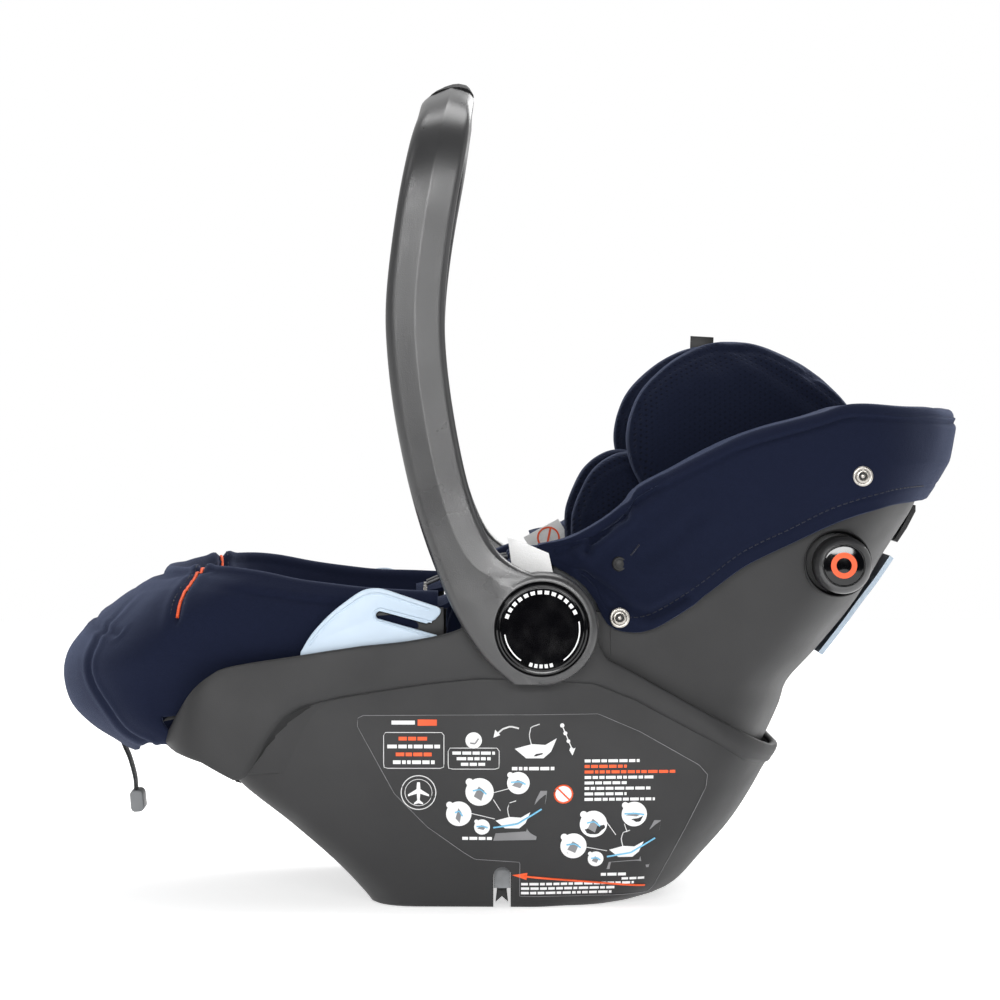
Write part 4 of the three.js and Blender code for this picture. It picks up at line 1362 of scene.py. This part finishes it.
def hips():
    hip = pad("hip_right", HIP, 132, 171.5, NAVY, cap=5, voxel=4.5,
              change=lambda co, normal: ripple(co, 25, 0.9, 18.0))
    for piece in place_pair(hip, "base", "navy_fabric", "hip_panel"):
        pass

    # Folded cloth between the leg section and the hip panel.
    top = [(-70, 217), (-60, 219), (-50, 221), (-42, 225), (-34, 232), (-26, 238)]
    rings = []
    for x, z in spline(top, 24):
        lift = np.linspace(0, 1, 14)
        y = 126 + 50 * lift
        arch = z + 6 * np.sin(math.pi * lift) - 4
        upper = [(x, yy, zz) for yy, zz in zip(y, arch)]
        lower = [(x, yy, zz - 3) for yy, zz in zip(y[::-1], arch[::-1])]
        rings.append(upper + lower)
    gusset = tube("gusset_right", rings, NAVY, 60)
    other = mirrored(gusset, "gusset_left")
    for piece in (gusset, other):
        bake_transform(piece)


hips()


def foam_front():
    """Cloth that closes the front of the side bolsters, from the rim down to the seat."""
    edge = spline([(46, 104), (40, 112), (33, 150), (27, 215), (27, 246), (34, 254)], 40)
    rings = []
    for x, z in edge:
        y = np.linspace(128, 178, 16)
        bow = 2.5 * np.sin(math.pi * (y - 128) / 50)
        front = [(x - 2.5 - b, yy, z) for yy, b in zip(y, bow)]
        rear = [(x - 0.6, yy, z) for yy in y[::-1]]
        rings.append(front + rear)
    panel = tube("bolster_front_right", rings, NAVY, 60)
    place_pair(panel, "backrest", "navy_fabric")


foam_front()


# ---- pods, snaps, labels ------------------------------------------------------------------------
def pods():
    dome = [(20.5, 160), (20.5, 184), (20.2, 186.6), (19.2, 189), (17.6, 191), (16.2, 192.2), (15.3, 192.4),
            (14.9, 191.9), (14.7, 190.8), (0.5, 190.8)]
    place_pair(lathe("pod_right", POD_DOME, dome, HANDLE, 96), "backrest", "handle_plastic", "pod_housing")
    # The well's black plastic is painted shade: it stands for the shade in the recess round the dome.
    well = [(23.9, 163), (23.9, 180.6), (23.2, 180.9), (22.6, 180.2), (21.4, 166), (0.5, 166), (0.5, 163)]
    place_pair(lathe("pod_well_right", POD, well, BLACK, 96, sharp=50), "backrest", "black_plastic")
    cap = [(14.4, 190.9), (14.4, 192.0), (13.9, 192.6), (13.0, 192.8), (0.5, 193.1), (0.5, 190.9)]
    place_pair(lathe("pod_cap_right", POD_DOME, cap, GLOSS, 96), "backrest", "black_gloss")
    mark = [(5.4, 192.7), (5.4, 193.25), (9.2, 193.15), (9.2, 192.7)]
    rings = [[turned(POD_DOME, r, y, t) for r, y in mark] for t in ring_angles(64)]
    place_pair(tube("pod_mark_right", rings, ORANGE, 30, loop=True), "backrest", "red_plastic")


pods()


def snaps():
    for stem, centre in (("rear_snap", (247, 309)), ("front_snap", (76, 209))):
        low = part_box(f"{stem}_right")[0].y / MM
        profile = arr([(7, 0), (7.1, 0.5), (6.6, 1.0), (5.7, 1.1), (5.1, 0.8), (4.8, 1.3), (4.2, 1.8),
                       (3.4, 1.8), (2.9, 1.2), (2.7, 0.2), (1.6, 0.2), (1.5, 0.9), (1.1, 1.2), (0.3, 1.2)])
        ring = lathe(f"{stem}_ring_right", centre, profile + (0, low), NICKEL, 64, sharp=50)
        place_pair(ring, "backrest", "steel", stem)
        profile = arr([(3, -0.2), (3, 0.35), (0.3, 0.35)])
        core = lathe(f"{stem}_core_right", centre, profile + (0, low), BLACK, 32)
        place_pair(core, "backrest", "black_plastic")


snaps()


def sheet_label(name, outline, y0, y1, material=LABEL, bevel=0.2):
    return prism(name, outline, y0, y1, material, bevel, 2)


def labels():
    outline = [(-3, 266), (5, 263.5), (26, 254.5), (29.5, 239), (22, 232), (4, 234), (-0.5, 248)]
    near = sheet_label("side_label", outline, -184.4, -183.9)
    place(near, "backrest", "navy_fabric")
    far = sheet_label("inner_label", [(14, 256), (41, 270.5), (51, 254), (24, 239.5)], 127.6, 128.2)
    place(far, "backrest", "navy_fabric")
    centre, marks = (33.5, 255.5), []
    for k in range(24):
        start, stop = 15 * k, 15 * (k + 1)
        ring = np.vstack([arc(centre, 9, start, stop, 1), arc(centre, 7.6, stop, start, 1)])
        marks.append(sheet_label("mark", ring, 127.2, 127.5, ORANGE, 0))
    slash = [(31.2, 248.2), (32.8, 248), (35.8, 262.8), (34.2, 263)]
    marks.append(sheet_label("mark", slash, 127.2, 127.5, ORANGE, 0))
    place(join("inner_label_marks", marks), "backrest", "insert_plastic")
    outline = [(143, 398), (161, 399), (161.5, 412), (143.5, 413)]
    tag = sheet_label("head_tag", outline, 112, 113.2, BLACK, 0.4)
    place(tag, "headrest", "black_plastic")


labels()

# ---- harness ------------------------------------------------------------------------------------
STRAP = spline([on_back(138, 3), on_back(126, 26), (100, 238), (40, 250), (-20, 243), (-52, 230),
                (-61, 226)], 70)


def strip_frames(line):
    """Unit normals of a side-view line, on the side it climbs away from."""
    step = np.gradient(arr(line), axis=0)
    step /= np.linalg.norm(step, axis=1)[:, None]
    return np.stack([-step[:, 1], step[:, 0]], 1)


def webbing_strip(name, line, y0, y1, thick=2.0, sag=0.0):
    """A woven strap along a side-view line, with rounded selvedges and a raised middle."""
    line, width = arr(line), y1 - y0
    normal = strip_frames(line)
    across = [(0.0, 0.0), (0.02, 0.6), (0.06, 0.9), (0.1, 0.62), (0.14, 0.95), (0.5, 1.0), (0.86, 0.95),
              (0.9, 0.62), (0.94, 0.9), (0.98, 0.6), (1.0, 0.0)]
    rings = []
    for k, (p, n) in enumerate(zip(line, normal)):
        bow = sag * math.sin(math.pi * k / (len(line) - 1))
        ring = []
        for side in (1, -1):
            for u, h in across[::side][:-1]:
                lift = 0.5 * thick * h * side + bow * (1 - (2 * u - 1) ** 2)
                q = p + n * lift
                ring.append((q[0], y0 + width * u, q[1]))
        rings.append(ring)
    return tube(name, rings, WEB, 40)


def shoulder_harness():
    for side, label in ((1, "right"), (-1, "left")):
        y0, y1 = sorted((15 * side, 38 * side))
        strap = webbing_strip(f"chest_strap_{label}", STRAP, y0, y1)
        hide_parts(f"shoulder_strap_{label}")
        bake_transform(strap)
    middle = STRAP[20:44]
    normal = strip_frames(middle)
    outline = np.vstack([middle + normal * 6.0, (middle - normal * 4.0)[::-1]])

    def seams(co, normal):
        across = np.abs(np.abs(co[:, 1]) - 26.5)
        return -1.1 * bell(across, 15, 1.3) + ripple(co, 16, 0.35, 21.0)

    chest = pad("chest_pad_right", outline, 8, 45, NAVY, cap=2.5, voxel=3, shrink=1.2, change=seams)
    for piece in place_pair(chest, "backrest", "navy_fabric", "shoulder_pad"):
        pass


shoulder_harness()


def crotch_harness():
    up = [(-62, 34.6), (-62, 70), (-62, 110), (-62, 150), (-62, 156)]
    strap = webbing_strip("crotch_webbing", spline(up, 40), -19, 19, 2.6)
    place(strap, "base", "webbing", "crotch_strap")
    # Padded sleeve round the strap, just under the buckle.
    rings = []
    for z, grow in ((138, 0.2), (139, 0.72), (141.5, 1.0), (146.5, 1.06), (151.5, 1.0), (154, 0.72),
                    (155, 0.2)):
        ring = []
        for t in ring_angles(40):
            c, s = math.cos(t), math.sin(t)
            x = 2.0 + 4.8 * grow * abs(c) ** 0.5
            ring.append((-62 + math.copysign(x, c), (20 + 6.8 * grow) * math.copysign(abs(s) ** 0.6, s), z))
        rings.append(ring)
    sleeve = tube("crotch_sleeve", rings, NAVY, 60)
    press(sleeve, lambda co, normal: ripple(co, 10, 0.4, 24.0))
    place(sleeve, "base", "navy_fabric", "crotch_pad")


crotch_harness()


def front_strap():
    """The loose end of the adjuster webbing, hanging under the nose of the boot, with its tab."""
    line = spline([(-289, 108), (-287.5, 104), (-284, 96), (-281, 86), (-279.4, 78), (-279, 68),
                   (-279, 62)], 40)
    strap = webbing_strip("front_webbing", line, -12.5, 12.5, 1.8)
    place(strap, "leg_section", "webbing", "adjuster_strap")
    outline = [(-283, 69), (-281, 71.5), (-275, 71.5), (-273, 69.5), (-271.8, 58), (-274, 55.5), (-280, 55),
               (-282, 57)]
    tab = prism("strap_tab", outline, -14.5, 14.5, INSERT, 1.4, 4)
    window = [(-279.8, 50), (-275.6, 50), (-275.6, 62), (-279.8, 62)]
    boolean(tab, prism("window", window, -9, 9, INSERT, bevel=0))
    place(tab, "leg_section", "insert_plastic")


front_strap()

# ---- belt guides --------------------------------------------------------------------------------
GUIDE = np.vstack([[(-150, 168)], spline([(-149, 185), (-141, 198), (-128, 212), (-114, 223), (-105, 228.5),
                   (-97, 230), (-89, 229), (-74, 224), (-53, 217)], 50),
                   [(-50.4, 215.4), (-50, 213.6), (-50.8, 211.6), (-54, 208), (-60, 205)],
                   arc((-93, 211), 2.8, 75, 270, 12), [(-53, 197), (-50, 190), (-52, 172)]])


def guides():
    plate = prism("guide_right", GUIDE, 186.4, 189.2, GUIDE_SKIN, 0.9)
    place_pair(plate, "base", "guide_plastic", "belt_guide")
    edge = spline([(-143, 190), (-136, 199), (-124, 211), (-111, 220.5), (-103, 225), (-96, 226.2),
                   (-89, 225.2), (-74, 220.4), (-58, 215)], 80)
    bead = cord_tube("guide_bead_right", np.insert(edge, 1, 189.0, axis=1), 0.9, GUIDE_SKIN, 10)
    place_pair(bead, "base", "guide_plastic")
    slot = np.vstack([[(-56.5, 206.3)], arc((-92.6, 211), 4.6, 62, 262, 20), [(-57, 195.6)]])
    lip = cord_tube("guide_lip_right", np.insert(spline(slot, 90), 1, 189.0, axis=1), 0.8, GUIDE_SKIN, 10)
    place_pair(lip, "base", "guide_plastic")
    # Web of the shell behind the belt slot, in black plastic darker than the shell: painted shade seen
    # through the slot.
    outline = [(-104, 192), (-104, 216), (-48, 216), (-48, 190)]
    web = prism("guide_web_right", outline, 181.5, 183.0, BLACK, 0.3)
    place_pair(web, "base", "black_plastic")


guides()


# ---- leg section liner: the moulded tray under the seat pad -------------------------------------
def leg_liner():
    """The leg shell, drawn in behind the rounded corners and top roll of the boot."""
    obj = new_object("leg_liner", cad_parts["leg_shell"].data.copy())
    paint(obj, SHELL)
    with editing(obj.data) as bm:
        bmesh.ops.remove_doubles(bm, verts=bm.verts, dist=0.00002)
    for v in obj.data.vertices:
        x, y, z = v.co / MM
        if x > -190:
            continue
        plan = boot_plan(min(max(z, 112), 236))
        room = np.interp(x, plan[:, 0], plan[:, 1]) - 9
        v.co = (x * MM, math.copysign(min(abs(y), max(room, 20)), y) * MM, min(z, 208) * MM)
    shade(obj)
    return place(obj, "leg_section", "shell_plastic", "leg_shell")


leg_liner()


# ---- printing on the base -----------------------------------------------------------------------
def decal(outline, material, lift=0.10):
    """A patch of print laid on the side of the base, as thin as ink; outline in side view."""
    p = arr(outline)
    y = arr([base_side(x, z) for x, z in p])
    front = [(x, w + lift, z) for (x, z), w in zip(p, y)]
    back = [(x, w - 0.5, z) for (x, z), w in zip(p, y)]
    n = len(p)
    faces = [list(range(n)), list(range(2 * n - 1, n - 1, -1))]
    faces += [[i, i + n, (i + 1) % n + n, (i + 1) % n] for i in range(n)]
    return object_from("mark", front + back, faces, material)


def block_mark(x0, x1, z0, z1, material=WHITE):
    xs = np.linspace(x0, x1, max(2, int(abs(x1 - x0) / 6) + 1))
    return decal([(x, z0) for x in xs] + [(x, z1) for x in xs[::-1]], material)


def disc_mark(centre, radius, material=WHITE, lift=0.10):
    return decal(arc(centre, radius, 0, 360, 33)[:-1], material, lift)


def line_mark(points, width=0.5, material=WHITE, loop=False, lift=0.0):
    steps = max(8, int(run_along(arr(points))[-1] / 2.0))
    path = [(x, base_side(x, z) + lift, z) for x, z in resample(points, steps, closed=loop)]
    return cord_tube("line", path, width / 2, material, 6, loop)


def ring_mark(centre, radius, width=0.6, material=WHITE):
    return line_mark(arc(centre, radius, 0, 360, 49)[:-1], width, material, loop=True)


def words(x0, x1, z, height, seed, material=WHITE):
    """A line of unreadable text: bars of word length."""
    draw = np.random.default_rng(seed)
    out, x = [], x0
    while x < x1 - 1.5:
        end = min(x + draw.uniform(2.4, 7.0), x1)
        out.append(block_mark(x, end, z - height / 2, z + height / 2, material))
        x = end + 1.0
    return out


def carrier_mark(x, z, size):
    """A small generic carrier: tub, back and raised handle."""
    tub = [(0, 0), (0.9, 0.25), (1.6, 0.2), (2.2, 0.55), (1.9, -0.15), (1.5, -0.5), (0.6, -0.5)]
    bow = [(0.9, 0.1), (0.75, 0.7), (0.85, 1.15), (1.3, 1.3)]
    return [decal(arr(tub) * size + (x, z), WHITE), line_mark(arr(bow) * size + (x, z), 0.7)]


def seat_mark(x, z, size):
    """A generic car seat in grey with a carrier strapped to it in blue."""
    seat_line = [(0, 0), (0.1, 0.35), (1.5, 0.45), (1.95, 1.95), (2.15, 2.35), (2.45, 2.35), (2.4, 1.9),
                 (1.95, 0.05)]
    belt = [(0, 0.62), (1.1, 0.8), (2.2, 1.5)]
    return [decal(arr(seat_line) * size + (x, z), ASH),
            *carrier_mark(x + 0.1 * size, z + 0.95 * size, 0.72 * size),
            line_mark(arr(belt) * size + (x, z), 1.3, SKY, lift=0.1)]


def badge(centre, radius, seed):
    """A round step picture: a white disc with grey and blue shapes, and its small number disc."""
    turn = np.random.default_rng(seed).uniform(0.2, 1.2)
    size = arr([math.cos(turn), math.sin(turn)]) * radius
    return [disc_mark(centre, radius),
            disc_mark(arr(centre) + arr([-0.72, 0.72]) * radius, radius * 0.26, WHITE, 0.14),
            decal(arr([(-0.7, -0.4), (0.2, -0.8), (0.6, 0.1), (-0.1, 0.5)]) * size + centre, ASH, 0.16),
            line_mark(arr([(-0.8, 0.1), (0.1, 0.25), (0.8, -0.2)]) * size + centre, 1.1, SKY, lift=0.16)]


def frame_mark(x0, x1, z0, z1):
    r = 1.6
    corner = [arc((x1 - r, z1 - r), r, 90, 0, 5), arc((x1 - r, z0 + r), r, 0, -90, 5),
              arc((x0 + r, z0 + r), r, -90, -180, 5), arc((x0 + r, z1 - r), r, 180, 90, 5)]
    return line_mark(np.vstack(corner), 0.55, loop=True)


def base_print():
    slots = {"white": "guide_plastic", "orange": "red_plastic", "grey": "insert_plastic",
             "blue": "guide_plastic"}
    marks = {colour: [] for colour in slots}

    def add(*pieces):
        for piece in pieces:
            for one in piece if isinstance(piece, list) else [piece]:
                marks[one.data.materials[0].name.removesuffix("_print")].append(one)

    outline = [(-105, 140), (61, 141), (91, 128), (133, 104), (139, 97), (138, 88), (120, 50), (103, 13),
               (99, 8), (6, 8), (6, 34), (-26, 36), (-34, 41), (-60, 60), (-83, 84), (-109, 132), (-109, 138)]
    add(line_mark(outline, 0.4, ASH, loop=True))
    add(block_mark(-85, -68.5, 133.6, 136.4), block_mark(-66.5, -53, 132.8, 137.2, ORANGE))
    add(frame_mark(-90.6, -48, 102.5, 128))
    for k, (x0, x1) in enumerate(((-80, -58), (-88, -50.5), (-82, -56.5), (-84, -54.5))):
        add(words(x0, x1, 123.6 - 5.6 * k, 2.6, 40 + k, ORANGE if k % 2 == 0 else WHITE))
    add(frame_mark(-45, -9, 102, 117), disc_mark((-27, 122.4), 5.8))
    add(line_mark([(-29.5, 120.5), (-26, 120), (-23.6, 123.6)], 1.0, ASH, lift=0.15))
    for k, (x0, x1) in enumerate(((-42, -12), (-39, -15), (-36, -18))):
        add(words(x0, x1, 113.4 - 4.0 * k, 2.2, 50 + k))
    add(carrier_mark(2, 116.5, 13.5))
    add(line_mark([(5, 131), (-1, 132.6), (-7, 130.4), (-10, 127.4)], 1.3),
        decal([(-13, 124.4), (-8.2, 126.2), (-11.8, 130)], WHITE))
    for k in range(4):
        add(disc_mark((35.5 + 2.2 * k, 133 - 5.6 * k), 1.5 - 0.1 * k))
    add(line_mark([(35, 134), (43, 115)], 0.8), decal([(42.8, 111.6), (45, 117), (40.4, 115.6)], WHITE))
    add(words(0, 30, 102.4, 2.4, 60))
    for k, width in enumerate((0.60, 0.46, 1.0, 0.76, 0.46, 0.72, 0.46, 0.77)):
        add(words(51.5, 51.5 + 65 * width, 107.6 - 3.95 * k, 2.1, 70 + k, ORANGE if k in (1, 2) else WHITE))
    add(ring_mark((-66, 85), 12.3, 0.8), ring_mark((-66, 85), 9.6, 0.5))
    plane = [(-67, 92.4), (-65, 92.4), (-64.6, 87.4), (-58.6, 83.6), (-58.6, 82.2), (-64.8, 84.2),
             (-65.1, 79.4), (-62.8, 77.4), (-62.8, 76.4), (-66, 77.2), (-69.2, 76.4), (-69.2, 77.4),
             (-66.9, 79.4), (-67.2, 84.2), (-73.4, 82.2), (-73.4, 83.6), (-67.4, 87.4)]
    add(decal(plane, WHITE))
    for k, (x, z, radius) in enumerate(((-22.8, 85.5, 10), (4.6, 92, 8), (-37.5, 69.6, 9), (-21, 60, 5.6),
                                        (58, 62, 9.7), (87, 69, 9), (44, 46, 9.3), (60, 36, 5.6))):
        add(badge((x, z), radius, 80 + k))
    add(ring_mark((36.6, 84), 6.4, 1.3, ORANGE), line_mark([(32.2, 88.4), (41, 79.6)], 1.2, ORANGE, lift=0.1))
    add(disc_mark((36.6, 84), 5.8))
    add(seat_mark(-13, 50, 15.5), seat_mark(68, 28, 15.5))
    add(words(-35, -14, 51.6, 2.2, 90), words(64, 82, 24, 2.2, 91))
    for line in ([(-13, 85), (-2, 88)], [(-13, 80), (-8, 72)], [(-29, 70), (-12, 66)], [(67, 64), (74, 54)],
                 [(53, 45), (68, 42)], [(80, 62), (82, 56)]):
        add(line_mark(line, 0.55))
    add(line_mark([(96, 14.4), (50, 19.2), (9, 23.4)], 1.6, ORANGE))
    add(decal([(0.6, 24.2), (10.8, 20.6), (11.4, 26.0)], ORANGE))
    for k, (x0, x1) in enumerate(((7, 88), (7, 80), (7, 84))):
        add(words(x0, x1 - 6 * k, 17.4 - 3.4 * k, 1.9, 95 + k))
    add(words(79, 96, 20.6, 1.8, 99))
    for colour, slot in slots.items():
        place_pair(join(f"print_{colour}_right", marks[colour]), "base", slot)


base_print()

# ---- small feet at the front of the base --------------------------------------------------------
FOOT = [(-103, 1.2), (-101, 0), (-90, 0), (-88.5, 1.2), (-89, 4), (-102, 5)]
place_pair(prism("foot_right", FOOT, 66, 84, BLACK, 0.6), "base", "black_plastic")


# ---- hub springs --------------------------------------------------------------------------------
def springs():
    for side, label in ((1, "right"), (-1, "left")):
        turns = np.linspace(0, 2 * math.pi * 3.5, 120)
        coil = [turned(HUB, 10.2, y, t) for y, t in zip(side * np.linspace(200.5, 205.5, 120), turns)]
        spring = cord_tube(f"coil_{label}", coil, 0.6, NICKEL)
        place(spring, "handle", "steel", f"hub_spring_{label}")
        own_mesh(spring)


springs()

# ---- CAD parts that stay ------------------------------------------------------------------------
FINISH = {
    "notch_lining": (INSERT, 0.3), "latch_hooks": (BLACK, 0.5), "handle_pivot": (NICKEL, 0.4),
    "recline_pin": (NICKEL, 0.5), "strap_anchor": (NICKEL, 0.5), "recline_trigger": (BLACK, 0.8),
    "lock_gear": (NICKEL, 0.2), "foam_liner": (FOAM, 1.0),
    "headrest_handle": (BLACK, 1.2), "rear_belt_guide": (GUIDE_SKIN, 0.8), "release_lever": (SHELL, 0.8),
    "harness_adjuster": (BLACK, 0.8), "adjuster_button": (RED, 0.5), "buckle_body": (BLACK, 1.0),
    "buckle_button": (RED, 0.7), "buckle_tongue": (NICKEL, 0.3),
}


def finish_nodes():
    for name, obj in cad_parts.items():
        stem = name.removesuffix("_right").removesuffix("_left")
        if stem not in FINISH:
            continue
        material, width = FINISH[stem]
        for slot in obj.material_slots:
            slot.material = material
        add_bevel(obj, width, 2)


finish_nodes()


def write_sizes():
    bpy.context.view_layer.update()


write_sizes()
